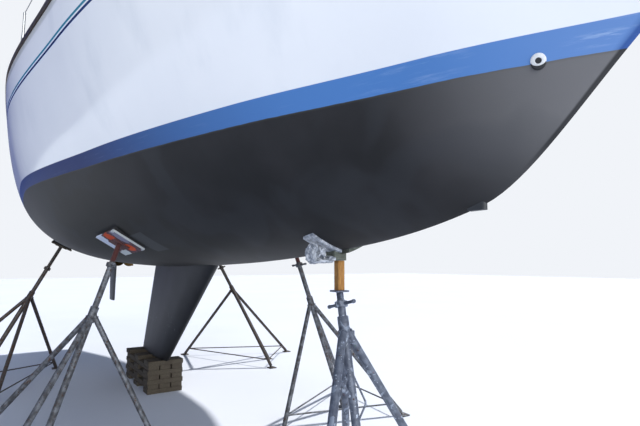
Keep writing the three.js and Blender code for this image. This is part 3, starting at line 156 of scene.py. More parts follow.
def bottom_z(x, y):
    """Height of the hull's skin over a place: t is halved in until the section's y meets y."""
    x, y = np.broadcast_arrays(np.asarray(x, float), np.abs(np.asarray(y, float)))
    s = (BOW_X - x) / HULL_LENGTH
    low, high = 0 * s, 0 * s + 1
    for _ in range(36):
        mid = (low + high) / 2
        under = hull_points(s, mid)[..., 1] < y
        low, high = np.where(under, mid, low), np.where(under, high, mid)
    return hull_points(s, low)[..., 2]


def unit(v):
    """Vectors of length one."""
    return v / np.maximum(np.linalg.norm(v, axis=-1, keepdims=True), 1e-12)


def round_turn(count):
    """Even angles of one turn, without its end."""
    return np.linspace(0, 2 * np.pi, count, endpoint=False)


def circle(count):
    """Points of a circle of radius one about z."""
    a = round_turn(count)
    return np.stack([np.cos(a), np.sin(a), 0 * a], -1)


def blunt(wave, power):
    """Power of a wave's size that keeps its sign, for rounded squares."""
    return np.sign(wave) * np.abs(wave) ** power


def grid(points, close_rows=False, close_cols=False):
    """Quads over a grid of points, rows by columns, with either way closed on itself."""
    rows, cols = points.shape[:2]
    r = np.arange(rows if close_rows else rows - 1)[:, None]
    c = np.arange(cols if close_cols else cols - 1)[None, :]
    r2, c2 = (r + 1) % rows, (c + 1) % cols
    quads = np.stack([r * cols + c, r * cols + c2, r2 * cols + c2, r2 * cols + c], -1)
    return points.reshape(-1, 3), quads.reshape(-1, 4)


def capped(points):
    """Closed skin over rings of points, with a fan over each end ring."""
    rows, cols = points.shape[:2]
    p, quads = grid(points, close_cols=True)
    centres = np.stack([points[0].mean(0), points[-1].mean(0)])
    c = np.arange(cols)
    c2 = (c + 1) % cols
    first = np.stack([c2, c, c * 0 + rows * cols, c * 0 - 1], -1)
    last = np.stack([c, c2, c * 0, c * 0 - 1], -1)
    last = last + [(rows - 1) * cols, (rows - 1) * cols, rows * cols + 1, 0]
    return np.concatenate([p, centres]), np.concatenate([quads, first, last])


def joined(parts):
    """One list of points and faces from several."""
    points, faces, base = [], [], 0
    for p, f in parts:
        points.append(p)
        faces.append(np.where(f < 0, -1, f + base))
        base += len(p)
    return np.concatenate(points), np.concatenate(faces)


def rings(path, radius, sides=12, shape=(1.0, 1.0), up=(0, 0, 1)):
    """Rings about a path: each point plus radius times the cosine and sine of the turn along
    two axes square to the path. The first axis is square to the direction called up."""
    path = np.asarray(path, float)
    along = unit(np.gradient(path, axis=0))
    guide = np.broadcast_to(np.asarray(up, float), along.shape)
    bad = np.abs((along * unit(guide)).sum(-1)) > 0.98
    guide = np.where(bad[:, None], [1.0, 0, 0], guide)
    side = unit(np.cross(along, guide))
    over = np.cross(side, along)
    turn = np.arange(sides) / sides * 2 * np.pi
    r = np.broadcast_to(np.asarray(radius, float), (len(path),))[:, None, None]
    a = np.cos(turn)[None, :, None] * shape[0]
    b = np.sin(turn)[None, :, None] * shape[1]
    return path[:, None] + r * (a * side[:, None] + b * over[:, None])


def tube(path, radius, sides=12, **extra):
    """Closed tube: rings along the path and a fan at each end."""
    return capped(rings(path, radius, sides, **extra))


def rod(a, b, r0, r1=None, sides=12, steps=2):
    """Straight bar from a to b, with its radius from r0 to r1."""
    share = np.linspace(0, 1, steps)
    path = np.asarray(a, float) + share[:, None] * (np.asarray(b, float) - np.asarray(a, float))
    return tube(path, r0 + share * ((r0 if r1 is None else r1) - r0), sides)


def turned(profile, centre, axis=(0, 0, 1), sides=24):
    """Turned solid: radius and height pairs carried about an axis through centre."""
    profile = np.asarray(profile, float)
    axis = unit(np.asarray(axis, float))
    side = unit(np.cross(axis, [0, 1, 0] if abs(axis[1]) < 0.9 else [1, 0, 0]))
    over = np.cross(axis, side)
    turn = np.arange(sides) / sides * 2 * np.pi
    ring = np.cos(turn)[:, None] * side + np.sin(turn)[:, None] * over
    points = np.asarray(centre) + profile[:, 1, None, None] * axis + profile[:, 0, None, None] * ring[None]
    return capped(points)


def block(low, high, radius=0.004, axes=None, centre=None, warp=None):
    """Box with rounded edges: a rounded rectangle carried along x, drawn in at both ends by the
    same radius. axes, three rows, turns it about the centre, and warp moves its points."""
    low, high = np.asarray(low, float), np.asarray(high, float)
    size, middle = high - low, (low + high) / 2
    r = min(radius, size.min() * 0.45)
    quarter = np.linspace(0, np.pi / 2, 4)
    corners = [(1, 1, 0), (-1, 1, 1), (-1, -1, 2), (1, -1, 3)]
    half, drawn = size / 2, r * (1 - np.cos(quarter))
    flat = np.linspace(-half[0] + r, half[0] - r, 9)[1:-1]
    xs = np.concatenate([-half[0] + drawn, flat, half[0] - drawn[::-1]])
    pull = np.concatenate([r * (1 - np.sin(quarter)), np.zeros(7), r * (1 - np.sin(quarter[::-1]))])
    ring = []
    for sy, sz, turn in corners:
        a = quarter + turn * np.pi / 2
        ring.append(np.stack([sy * (half[1] - r) + r * np.cos(a), sz * (half[2] - r) + r * np.sin(a)], -1))
    ring = np.concatenate(ring)
    inward = np.sign(ring)
    yz = ring[None] - inward[None] * pull[:, None, None]
    points = np.concatenate([np.broadcast_to(xs[:, None, None], (len(xs), len(ring), 1)), yz], -1)
    if warp is not None:
        points = warp(points)
    if axes is not None:
        points = points @ np.asarray(axes)
    return capped(points + (middle if centre is None else np.asarray(centre)))


TUBE = 0.0125


def bent(points, radius=TUBE, bend=0.07, sides=14):
    """Bent tube: the corners of the path are rounded by quadratic curves of the bend's reach."""
    p = np.asarray(points, float)
    path = [p[:1]]
    for a, b, c in zip(p[:-2], p[1:-1], p[2:]):
        reach = min(bend, np.linalg.norm(b - a) * 0.45, np.linalg.norm(c - b) * 0.45)
        start, end = b + unit(a - b) * reach, b + unit(c - b) * reach
        t = np.linspace(0, 1, 9)[:, None]
        path.append((1 - t) ** 2 * start + 2 * t * (1 - t) * b + t * t * end)
    path.append(p[-1:])
    path = np.concatenate(path)
    return tube(path, radius, sides, up=(0.02, 0.01, 1))


# Objects

def link(name, mesh, finish, body, slot, node):
    """Object at the origin with its finish and body, and the CAD node that it stands for, which is hidden.
    """
    item = bpy.data.objects.new(name, mesh)
    bpy.context.scene.collection.objects.link(item)
    mesh.materials.append(finish)
    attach(item, body)
    slot or SLOT_OF[finish]
    if node:
        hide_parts(node)
    return item


def piece(name, parts, finish, body=RIG, slot=None, smooth=35, values=None, weld=0.0, node=None):
    """Object from points and faces, with its place in its mesh."""
    points, faces = joined(parts) if isinstance(parts, list) else parts
    mesh = bpy.data.meshes.new(name)
    mesh.from_pydata(points.tolist(), [], [f[:3] if f[3] < 0 else f for f in faces.tolist()])
    for key, column in (values or {}).items():
        layer = mesh.attributes.new(key, "FLOAT", "POINT")
        layer.data.foreach_set("value", np.asarray(column, np.float32).ravel())
    if weld:
        work = bmesh.new()
        work.from_mesh(mesh)
        bmesh.ops.remove_doubles(work, verts=work.verts, dist=weld)
        bmesh.ops.recalc_face_normals(work, faces=work.faces)
        work.to_mesh(mesh)
        work.free()
    mesh.validate()
    mesh.shade_smooth()
    mesh.set_sharp_from_angle(angle=math.radians(smooth))
    return link(name, mesh, finish, body, slot, node)


def finish_of(item, kind, **settings):
    """Modifier on a piece with equal levels for view and render."""
    modifier = item.modifiers.new(kind.lower(), kind)
    for key, value in settings.items():
        setattr(modifier, key, value)


def moulded(node, finish, width, smooth=30):
    """Copy of a CAD node with its doubles merged and its edges rounded, that stands for it."""
    source = frame["nodes"][node]
    work = bmesh.new()
    work.from_mesh(source.data)
    bmesh.ops.remove_doubles(work, verts=work.verts, dist=2e-5)
    bmesh.ops.dissolve_limit(work, angle_limit=math.radians(0.6), verts=work.verts, edges=work.edges)
    mesh = bpy.data.meshes.new(node + "_moulded")
    work.to_mesh(mesh)
    work.free()
    mesh.shade_smooth()
    mesh.set_sharp_from_angle(angle=math.radians(smooth))
    body = next(b for b, names in frame["record"]["behaviour"]["bodies"].items() if node in names)
    item = link(node + "_moulded", mesh, finish, body, None, node)
    finish_of(item, "BEVEL", width=width, segments=3, limit_method="ANGLE",
              angle_limit=math.radians(32), harden_normals=True, use_clamp_overlap=True)


# Pads: place on the hull, size and turn, the same values as the solids have
PAD_THICKNESS = 0.046
PAD_TABLE = [("mid", (0.68, 0.985), (0.48, 0.35), -10), ("aft", (-2.6, 1.2), (0.42, 0.3), 5)]


def pad_axes(x, y, turn):
    """Rows: the pad's own x, y and z axes. Its z is the hull's normal, found from the heights of
    the skin 60 mm to each side."""
    reach = 0.06
    across = math.atan2(bottom_z(x, y + reach) - bottom_z(x, y - reach), 2 * reach)
    along = math.atan2(bottom_z(x + reach, y) - bottom_z(x - reach, y), 2 * reach)
    angles = across, -along, math.radians(turn)
    ca, sa, cb, sb, ct, st = (f(a) for a in angles for f in (math.cos, math.sin))
    rx = np.array([[1, 0, 0], [0, ca, -sa], [0, sa, ca]])
    ry = np.array([[cb, 0, sb], [0, 1, 0], [-sb, 0, cb]])
    rz = np.array([[ct, -st, 0], [st, ct, 0], [0, 0, 1]])
    return (ry @ rx @ rz).T


PAD_ROWS = []
for name, (x, y), size, turn in PAD_TABLE:
    for side, sign in BOTH:
        axes = pad_axes(x, sign * y, sign * turn)
        euler = tuple(Matrix(axes.T.tolist()).to_euler("XYZ"))
        centre = np.array([x, sign * y, float(bottom_z(x, y))])
        PAD_ROWS.append((centre, euler, size, axes, name, side, sign))
PAD_PLACES = [(tuple(c.tolist()), euler, size) for c, euler, size, *_ in PAD_ROWS]


# Materials

def linear(code):
    """sRGB hex to linear colour."""
    value = np.array([int(code[i:i + 2], 16) / 255 for i in (1, 3, 5)])
    value = np.where(value <= 0.04045, value / 12.92, ((value + 0.055) / 1.055) ** 2.4)
    return (*value.tolist(), 1.0)


def mm(size):
    """Noise or cell scale whose features are about this many millimetres across."""
    return 1000.0 / size


# Kinds of node: Blender's name, settings, the sockets that the values go to, and the result
KINDS = {
    "noise": ("TexNoise", {}, ("Scale", "Detail", "Roughness", "Distortion"), 0),
    "cells": ("TexVoronoi", {"feature": "SMOOTH_F1"}, ("Scale", "Smoothness"), 0),
    "bands": ("TexWave", {"wave_type": "BANDS"}, ("Scale", "Distortion"), 1),
    "step": ("MapRange", {"clamp": True, "interpolation_type": "SMOOTHSTEP"}, (0, 1, 2, 3, 4), 0),
    "mix": ("Mix", {"data_type": "RGBA"}, (0, 6, 7), 2),
    "bump": ("Bump", {}, ("Height", "Distance", "Strength", "Normal"), 0),
    "scaled": ("Mapping", {}, ("Vector", "Scale"), 0),
    "local": ("Mapping", {"vector_type": "TEXTURE"}, ("Vector", "Location", "Rotation"), 0),
    "axes": ("SeparateXYZ", {}, (0,), None),
    "value": ("Attribute", {}, (), 2),
    "uv": ("UVMap", {}, (), 0),
    "glow": ("Background", {}, (0, 1), 0),
    "ray": ("LightPath", {}, (), 0),
}


class Recipe:
    """Node tree of one material, or of the world. put() adds a node with its settings and links."""

    def __init__(self, name, world=None):
        self.material = world or bpy.data.materials.new(name)
        self.material.use_nodes = True
        self.tree = self.material.node_tree
        self.tree.nodes.clear()
        out = self.tree.nodes.new("ShaderNodeOutputWorld" if world else "ShaderNodeOutputMaterial")
        self.shader = self.tree.nodes.new("ShaderNodeMixShader" if world else "ShaderNodeBsdfPrincipled")
        self.tree.links.new(self.shader.outputs[0], out.inputs[0])
        self.where = self.tree.nodes.new("ShaderNodeTexCoord").outputs["Generated" if world else "Object"]

    def fill(self, node, pairs):
        for key, value in pairs:
            if isinstance(value, bpy.types.NodeSocket):
                self.tree.links.new(value, node.inputs[key])
            else:
                node.inputs[key].default_value = linear(value) if isinstance(value, str) else value

    def put(self, kind, *values, settings=(), at=None):
        """Adds a node of a kind in the table, or else a Math node, and gives its result. Text
        values are colours, and a pattern without a place reads Object coordinates."""
        name, preset, sockets, result = KINDS.get(kind) or ("Math", {"operation": kind}, (0, 1), 0)
        node = self.tree.nodes.new("ShaderNode" + name)
        for key, value in {**preset, **dict(settings)}.items():
            setattr(node, key, value)
        pairs = list(zip(sockets, values))
        if kind in ("noise", "cells", "bands"):
            pairs.append(("Vector", at or self.where))
        self.fill(node, pairs)
        return node.outputs if result is None else node.outputs[result]

    def set(self, **inputs):
        self.fill(self.shader, [(key.replace("_", " "), value) for key, value in inputs.items()])
        return self.material


def gelcoat_and_bottom_paint():
    """Glossy white gelcoat topsides with two cove lines and a blue boot stripe, over rolled matt
    dark bottom paint. Gloss above, none below; the stripe is rubbed pale in streaks forward. Painted
    light and shade: the stripe is painted darkest just forward of amidships and paler towards the
    bow, and darker on the stem's nose; the bottom paint is chalky and painted lighter towards the
    bow, painted warm bounce light aft, painted dark on the stem's nose, and painted shadow round
    the pads."""
    r = Recipe("gelcoat_boot_stripe_and_bottom_paint")
    put = r.put
    x, y, z = put("axes", r.where)
    drop = put("value", settings={"attribute_name": "drop"})
    level = put("ADD", z, put("MULTIPLY", put("SUBTRACT", put("noise", mm(140), 2), 0.5), 0.006))
    below = put("step", level, BOOT_Z - 0.0015, BOOT_Z + 0.0015, 1.0, 0.0)
    above = put("step", z, STRIPE_TOP - 0.001, STRIPE_TOP + 0.001)
    white = put("mix", put("noise", mm(900), 3), "#dfe4ea", "#f2f5f8")
    runs = put("noise", mm(260), 5, at=put("scaled", r.where, (1, 1, 0.2)))
    white = put("mix", put("step", runs, 0.52, 0.78, 0.0, 0.35), white, "#cfd6de")
    # The cove lines lie a set drop below the sheer
    for middle, half, colour in ((0.27, 0.01, "#2f7f95"), (0.304, 0.011, "#1f3768")):
        away = put("ABSOLUTE", put("SUBTRACT", drop, middle))
        white = put("mix", put("step", away, half - 0.001, half + 0.001, 1.0, 0.0), white, colour)
    fine = put("noise", mm(30), 6, 0.7, at=put("scaled", r.where, (0.12, 0.12, 1.6)))
    worn = put("MULTIPLY", put("step", fine, 0.5, 0.74), put("step", put("noise", mm(340), 2), 0.42, 0.62))
    worn = put("MULTIPLY", worn, put("step", x, 3.4, 4.6, 0.08, 0.4))
    # Scratches aft of the stem, and pressed round the outlet
    along_x = put("step", put("ABSOLUTE", put("SUBTRACT", x, 5.02)), 0.34, 0.12)
    along_z = put("step", put("ABSOLUTE", put("SUBTRACT", z, 2.642)), 0.032, 0.012)
    scratch = put("MULTIPLY", put("MULTIPLY", along_x, along_z), put("step", fine, 0.46, 0.6, 0.0, 0.8))
    worn = put("MAXIMUM", worn, scratch)
    # Painted light along the stripe: darkest just forward of amidships, where it lies in shade, and paler
    # towards the bow, where it catches the light
    blue = put("mix", put("step", x, -2.0, 1.0), "#173a7c", "#0f2860")
    blue = put("mix", put("step", x, 1.0, 3.8), blue, "#4e7ebd")
    blue = put("mix", put("step", x, 4.0, 5.3), blue, "#6c8fc6")
    blue = put("mix", worn, blue, "#9db6da")
    # Painted shade on the stem's rounded nose: from just to starboard of the centreline over to port the
    # stripe is mixed with a mid blue, and within 20 mm of the centreline with a deep blue
    blue = put("mix", put("step", y, -0.034, -0.012, 0.0, 0.75), blue, "#4468a6")
    blue = put("mix", put("step", put("ABSOLUTE", y), 0.012, 0.02, 0.55, 0.0), blue, "#1d3f86")
    # Bottom paint: dark amidships; chalky grey from the bow stand forward, partly painted light bounced
    # from the bright ground; painted warm bounce light aft of amidships
    bottom = put("mix", put("step", put("noise", mm(420), 4), 0.3, 0.75), "#121315", "#212124")
    chalk_and_bounce_light = put("MULTIPLY", put("step", z, 1.95, 2.42), put("step", x, 3.8, 4.9))
    bottom = put("mix", put("MULTIPLY", chalk_and_bounce_light, 0.9), bottom, "#737375")
    bottom = put("mix", put("step", x, 2.6, 0.6, 0.0, 0.6), bottom, "#35342f")
    rub = put("noise", mm(28), 7, 0.75, at=put("scaled", r.where, (0.35, 0.35, 1.4)))
    bottom = put("mix", put("step", rub, 0.62, 0.76, 0.0, 0.3), bottom, "#43474b")
    patch = put("noise", mm(620), 2, 0.5, 0.8)
    bottom = put("mix", put("step", patch, 0.5, 0.62, 0.0, 0.25), bottom, "#33373d")
    bottom = put("mix", put("step", level, BOOT_Z - 0.012, BOOT_Z - 0.001, 0.0, 0.35), bottom, "#4b4c42")
    # Painted shade: a dark band within 20 mm of the centreline forward of x 4.5, down the stem's rounded
    # nose
    stem = put("step", put("ABSOLUTE", y), 0.012, 0.02, 0.85, 0.0)
    bottom = put("mix", put("MULTIPLY", stem, put("step", x, 4.4, 4.6)), bottom, "#141518")

    def outside(centre, turn, half_length, half_width):
        """How far a place lies outside a rectangle on a pad's own axes."""
        u, v, _ = put("axes", put("local", r.where, centre, turn))
        return put("MAXIMUM", put("SUBTRACT", put("ABSOLUTE", u), half_length),
                   put("SUBTRACT", put("ABSOLUTE", v), half_width))

    # Painted shadow: a dark rim round each pad, where the gap between board and hull lies in shade
    for centre, turn, (length, width) in PAD_PLACES:
        away = put("ADD", outside(centre, turn, length / 2, width / 2),
                   put("MULTIPLY", put("noise", mm(60), 3), 0.02))
        bottom = put("mix", put("step", away, 0.02, 0.045, 0.85, 0.0), bottom, "#0b0d10")
    # Pale trace of a pad's older place, forward of the pad amidships
    (px, py, pz), turn, _ = PAD_PLACES[1]
    out = outside((px + 0.34, py + 0.2, pz), turn, 0.13, 0.16)
    trace = put("MULTIPLY", put("step", out, -0.004, 0.008, 0.35, 0.0), put("step", y, -0.02, -0.1))
    bottom = put("mix", trace, bottom, "#5c6165")
    colour = put("mix", below, put("mix", above, blue, white), bottom)
    rough = put("ADD", put("MULTIPLY", below, 0.2), 0.12)
    rough = put("ADD", rough, put("MULTIPLY", put("SUBTRACT", 1.0, above), 0.32))
    gloss = put("ADD", put("step", above, 0.0, 1.0, 0.16, 0.6), put("MULTIPLY", below, 0.26))
    height = put("MULTIPLY", put("noise", mm(6), 3), put("ADD", put("MULTIPLY", below, 0.95), 0.05))
    fair = put("bump", put("noise", mm(700), 2), 0.0016, 0.25)
    return r.set(Base_Color=colour, Roughness=rough, Specular_IOR_Level=gloss, IOR=1.5,
                 Normal=put("bump", height, 0.0006, 0.5, fair))


def bottom_paint(name, light="#22252a", dark="#131519", joint=None):
    """Matt dark bottom paint, rolled: stippled, with pale scuffs and runs."""
    r = Recipe(name)
    put = r.put
    z = put("axes", r.where)[2]
    colour = put("mix", put("step", put("noise", mm(300), 4), 0.3, 0.75), dark, light)
    rub = put("noise", mm(22), 7, 0.75, at=put("scaled", r.where, (0.4, 0.4, 1.3)))
    colour = put("mix", put("step", rub, 0.62, 0.76, 0.0, 0.4), colour, "#44484e")
    if joint:
        away = put("ABSOLUTE", put("ADD", put("SUBTRACT", z, joint),
                                   put("MULTIPLY", put("SUBTRACT", put("noise", mm(90), 2), 0.5), 0.02)))
        colour = put("mix", put("step", away, 0.001, 0.006, 0.8, 0.0), colour, "#0c0d10")
        pale = put("MULTIPLY", put("step", put("noise", mm(60), 6, 0.7), 0.6, 0.7),
                   put("step", away, 0.02, 0.22, 0.7, 0.0))
        colour = put("mix", pale, colour, "#84888a")
    return r.set(Base_Color=colour, Roughness=0.55, IOR=1.5,
                 Normal=put("bump", put("noise", mm(6), 3), 0.0005, 0.6))


def moulded_gelcoat(name, tint, grip=False):
    """Off-white moulded gelcoat: glossy and cloudy where smooth, with small raised cells where
    it is moulded for grip. The real cells are 3 mm and are drawn at 7 mm so that they show."""
    r = Recipe(name)
    put = r.put
    colour = put("mix", put("noise", mm(500), 4), tint, "#c8c5bb")
    colour = put("mix", put("step", put("noise", mm(120), 6), 0.55, 0.8, 0.0, 0.3), colour, "#aaa698")
    cells = put("cells", mm(7), 0.4)
    if grip:
        colour = put("mix", put("step", cells, 0.2, 0.6, 0.0, 0.35), colour, "#8f8c80")
    height = cells if grip else put("noise", mm(60), 2)
    return r.set(Base_Color=colour, Roughness=0.55 if grip else 0.24, IOR=1.5,
                 Normal=put("bump", height, 0.0008 if grip else 0.0004, 0.6))


def metal(name, colour, second, rough, grain=(1, 1, 1), size=12, relief=0.05, metallic=1.0):
    """Metal with its brushing or rolling grain: two close shades, uneven gloss and a fine relief."""
    r = Recipe(name)
    put = r.put
    n = put("noise", mm(size), 5, at=put("scaled", r.where, grain))
    gloss = put("step", put("noise", mm(size * 6), 4), 0.3, 0.7, rough * 0.75, rough * 1.3)
    return r.set(Base_Color=put("mix", n, colour, second), Metallic=metallic, Roughness=gloss,
                 Normal=put("bump", n, relief / 1000, 0.4))


def worn_steel(name, coat, second, rust="#5a3a26", rust_from=0.6, spots=(), rusted_above=None):
    """Painted steel tube: brushed-on paint over rust, chipped, with drips of other paints; pale drips are
    also painted highlights.
    """
    r = Recipe(name)
    put = r.put
    colour = put("mix", put("step", put("noise", mm(45), 5), 0.35, 0.7), coat, second)
    chip = put("step", put("noise", mm(26), 7, 0.7), rust_from, rust_from + 0.05)
    colour = put("mix", chip, colour, put("mix", put("noise", mm(8), 5), rust, "#2e2320"))
    for size, limit, paint in spots:
        drip_and_highlight = put("step", put("noise", mm(size), 2, 0.4, 0.6), limit, limit + 0.02)
        colour = put("mix", drip_and_highlight, colour, paint)
    if rusted_above:
        z = put("ADD", put("axes", r.where)[2], put("MULTIPLY", put("noise", mm(40), 4), 0.06))
        colour = put("mix", put("step", z, rusted_above, rusted_above + 0.03), colour, "#57322f")
    height = put("SUBTRACT", put("noise", mm(9), 4), put("MULTIPLY", chip, 0.5))
    return r.set(Base_Color=colour, Metallic=0.25, Roughness=put("ADD", put("MULTIPLY", chip, 0.3), 0.5),
                 Normal=put("bump", height, 0.0008, 0.6))


def sawn_timber(name, pale="#6d6255", dark="#2d2722", grain=(0.06, 1, 1), size=9, rough=0.85, coat=0.0):
    """Board: grain streaks along it. Weathered ones are grey with dirt in the cracks, and
    varnished ones have a clear glossy coat."""
    r = Recipe(name)
    put = r.put
    streak = put("noise", mm(size), 6, 0.65, at=put("scaled", r.where, grain))
    colour = put("mix", put("step", streak, 0.3, 0.72), dark, pale)
    crack = put("step", put("noise", mm(size / 2), 8, 0.8, at=put("scaled", r.where, grain)), 0.62, 0.7)
    if not coat:
        colour = put("mix", put("step", put("noise", mm(150), 4), 0.45, 0.7, 0.0, 0.6), colour, "#3b332b")
        colour = put("mix", crack, colour, "#171412")
    height = put("SUBTRACT", streak, crack)
    return r.set(Base_Color=colour, Roughness=rough, Coat_Weight=coat, Coat_Roughness=0.12,
                 Normal=put("bump", height, 0.0004 if coat else 0.002, 0.7))


def painted_pad():
    """Plywood pad with old paints on it, placed by its own two shares: dark worn board, two
    orange patches, a grey and a brown one, white-grey strips, and pale corners and one rim."""
    r = Recipe("plywood_pad_old_paint")
    put = r.put
    u, v = (put("value", settings={"attribute_name": name}) for name in ("share_u", "share_v"))
    edge = put("step", u, 0.965, 0.985)
    shake = put("MULTIPLY", put("SUBTRACT", put("noise", mm(40), 5, 0.65), 0.5), 0.34)
    u, v = put("ADD", u, shake), put("ADD", v, put("MULTIPLY", shake, -0.7))
    colour = put("mix", put("step", put("noise", mm(40), 5), 0.3, 0.7), "#35262a", "#6a4f58")
    patches = ((0.76, 0.42, 0.27, 0.62, "#7d7d92"), (0.09, 0.67, 0.34, 0.38, "#c4471c"),
               (0.3, -0.49, 0.34, 0.36, "#cc4f1f"), (0.12, -0.22, 0.16, 0.14, "#7d5518"))
    for cu, cv, ru, rv, paint in patches:
        du = put("DIVIDE", put("SUBTRACT", u, cu), ru)
        dv = put("DIVIDE", put("SUBTRACT", v, cv), rv)
        away = put("ADD", put("MULTIPLY", du, du), put("MULTIPLY", dv, dv))
        colour = put("mix", put("step", away, 0.7, 1.15, 1.0, 0.0), colour, paint)
    slope = put("SUBTRACT", u, put("MULTIPLY", v, 0.2))
    strip = put("MULTIPLY", put("step", slope, -0.48, -0.52), put("step", v, -0.33, -0.28))
    slope = put("SUBTRACT", v, put("MULTIPLY", u, 0.28))
    flap = put("MULTIPLY", put("step", u, -0.18, -0.22), put("step", slope, -0.34, -0.39))
    tip = put("MULTIPLY", put("step", u, 0.76, 0.8), put("step", put("ABSOLUTE", v), 0.85, 0.89))
    for mask, paint in ((strip, "#c9d3e6"), (flap, "#c8d1d4"), (tip, "#b9bfc4"), (edge, "#a3a9ac")):
        colour = put("mix", mask, colour, paint)
    return r.set(Base_Color=colour, Roughness=0.7, Normal=put("bump", put("noise", mm(12), 6), 0.0012, 0.6))


def acrylic_glass(name, tint="#1c2226"):
    """Dark tinted acrylic sheet: smooth and glossy, with faint crazing and dust."""
    r = Recipe(name)
    put = r.put
    dust = put("step", put("noise", mm(220), 5), 0.5, 0.8, 0.0, 0.25)
    return r.set(Base_Color=put("mix", dust, tint, "#59636a"), IOR=1.49,
                 Roughness=put("step", put("noise", mm(90), 5), 0.3, 0.8, 0.05, 0.16),
                 Normal=put("bump", put("noise", mm(400), 2), 0.0006, 0.15))


def woven(name, colour, second, shade="#0b1838", thread_mm=2.0, seams=0.0):
    """Woven cloth. Two crossed sets of threads are drawn on the piece's own UV map in metres,
    coarser than the real 0.5 mm so that they show. seams sets stitched lines that far apart."""
    r = Recipe(name)
    put = r.put
    uv = put("uv", settings={"uv_map": "cloth"})
    threads = [put("bands", 1000 / thread_mm / 6.28, 0.3, at=uv, settings={"bands_direction": d})
               for d in "XY"]
    height = put("ADD", *threads)
    tone = put("mix", put("step", put("noise", mm(700), 4), 0.35, 0.75), colour, second)
    tone = put("mix", put("MULTIPLY", put("step", height, 0.4, 1.6, 1.0, 0.0), 0.25), tone, shade)
    if seams:
        share = put("FRACT", put("DIVIDE", put("axes", uv)[0], seams))
        away = put("ABSOLUTE", put("SUBTRACT", share, 0.5))
        line = put("step", away, 0.006 / seams, 0.012 / seams, 0.5, 0.0)
        tone = put("mix", line, tone, shade)
        height = put("SUBTRACT", height, put("MULTIPLY", line, 3.0))
    return r.set(Base_Color=tone, Roughness=0.88, Normal=put("bump", height, 0.0003, 0.5),
                 Sheen_Weight=0.2, Sheen_Roughness=0.5)


def plain(name, colour, second, rough, size=20, depth=0.15, spread=0.5, **extra):
    """Moulded or painted surface: two shades, the sharper apart the smaller the spread, and a
    fine grain."""
    r = Recipe(name)
    n = r.put("noise", mm(size), 4)
    share = r.put("step", n, 0.5 - spread, 0.5 + spread)
    return r.set(Base_Color=r.put("mix", share, colour, second), Roughness=rough,
                 Normal=r.put("bump", n, depth / 1000, 0.4), **extra)


# Paints of the hull: the topsides mirror sky and ground, and the bottom swallows the light
HULL_PAINT = gelcoat_and_bottom_paint()
KEEL_PAINT = bottom_paint("keel_bottom_paint", "#1a1c21", "#0d0f12", joint=0.98)
BOTTOM_PAINT = bottom_paint("fitting_bottom_paint", "#3f4347", "#2c2f33")
# Deck and cabin: a calm off-white that doesn't glare in the sun, duller where it is for grip
GRIP = moulded_gelcoat("moulded_deck_gelcoat_grip", "#a29e92", grip=True)
MOULDING = moulded_gelcoat("moulded_gelcoat_smooth", "#bebcb4")
LINER = plain("painted_liner", "#c9c7bf", "#d8d6ce", 0.6, 80)
# Metals: bright lines along the tubes, dull silver spars, a brown old rail, golden bronze
STAINLESS = metal("polished_stainless_tube", "#c3c6c9", "#aeb2b6", 0.18)
WIRE = metal("stainless_wire_rope", "#a4a7aa", "#7f8286", 0.35, size=4, relief=0.3)
SPAR = metal("satin_anodised_spar", "#b8bbbd", "#a9acaf", 0.38, grain=(1, 1, 0.05), size=20)
RAIL = metal("weathered_anodised_rail", "#5a4d45", "#3f3833", 0.5, size=30, metallic=0.6)
BRONZE = metal("cast_bronze", "#7d6238", "#5d4a30", 0.42, size=14, relief=0.3)
# Panes: dark and nearly a mirror, so that the cabin reads as hollow
GLASS = acrylic_glass("tinted_acrylic_window")
HATCH_GLASS = acrylic_glass("smoked_acrylic_hatch", "#2a3136")
# Cloth: deep soft blue on deck and cream on the stay, with a weave close up
CANVAS = woven("woven_acrylic_canvas_blue", "#1b3f8f", "#274f9f", seams=0.9)
CLEAR = plain("clear_vinyl_panel", "#9fb0b8", "#b5c2c8", 0.12, 200, 0.5, IOR=1.5)
SAILCLOTH = woven("woven_polyester_sailcloth", "#dcdad2", "#c9c7bd", "#a3a198", 3.0, seams=0.75)
CUSHION = woven("woven_berth_fabric", "#35506b", "#476581", "#1d2c3b", 3.0)
# Wood: warm streaks that lead the eye along each board, glossy below and silvery outside
JOINERY = sawn_timber("varnished_mahogany_joinery", "#8a5630", "#5d361d", (0.2, 1, 1), 6, 0.4, 0.6)
TEAK = sawn_timber("weathered_teak_slat", "#9c8468", "#77624c", (0.1, 1, 1), 7, 0.75, 0.05)
# Small moulded things: even and quiet; the black ones are black parts and feet, and painted shade in the
# outlet's bore and the toe rail's slots
ENGINE = plain("enamelled_engine_block", "#6f7d7a", "#5f6c69", 0.5)
PLASTIC = plain("white_moulded_skin_fitting", "#e7e9ea", "#c5c9cc", 0.4, 9)
BLACK = plain("black_plastic_and_painted_gap_shade", "#1b1c1e", "#26272a", 0.5)
ROPE = plain("braided_polyester_halyard", "#c9c6ba", "#7f8ba0", 0.8, 5, 0.8)
# Stack, chocks and pads: rough, grey and patchy, so that they look used beside the hull
TIMBER = sawn_timber("weathered_stack_timber", "#5f5749", "#221e1a")
CHOCK = sawn_timber("orange_brown_chock", "#b98a4c", "#8a5c2c", (1, 1, 0.1), 5)
GREY_BOARD = sawn_timber("grey_green_plywood", "#6f756c", "#4c534b", (1, 0.12, 1), 8)
WRAP = plain("pale_plastic_wrapping", "#c6ccd6", "#7d8590", 0.4, 26, 3.0, 0.16)
# Packing between pad and hull: black as painted shade of the gap under the hull
PACKING_AND_GAP_SHADE = plain("black_packing_and_painted_gap_shade", "#19191b", "#28282a", 0.85, 12, 0.8)
PAD = painted_pad()
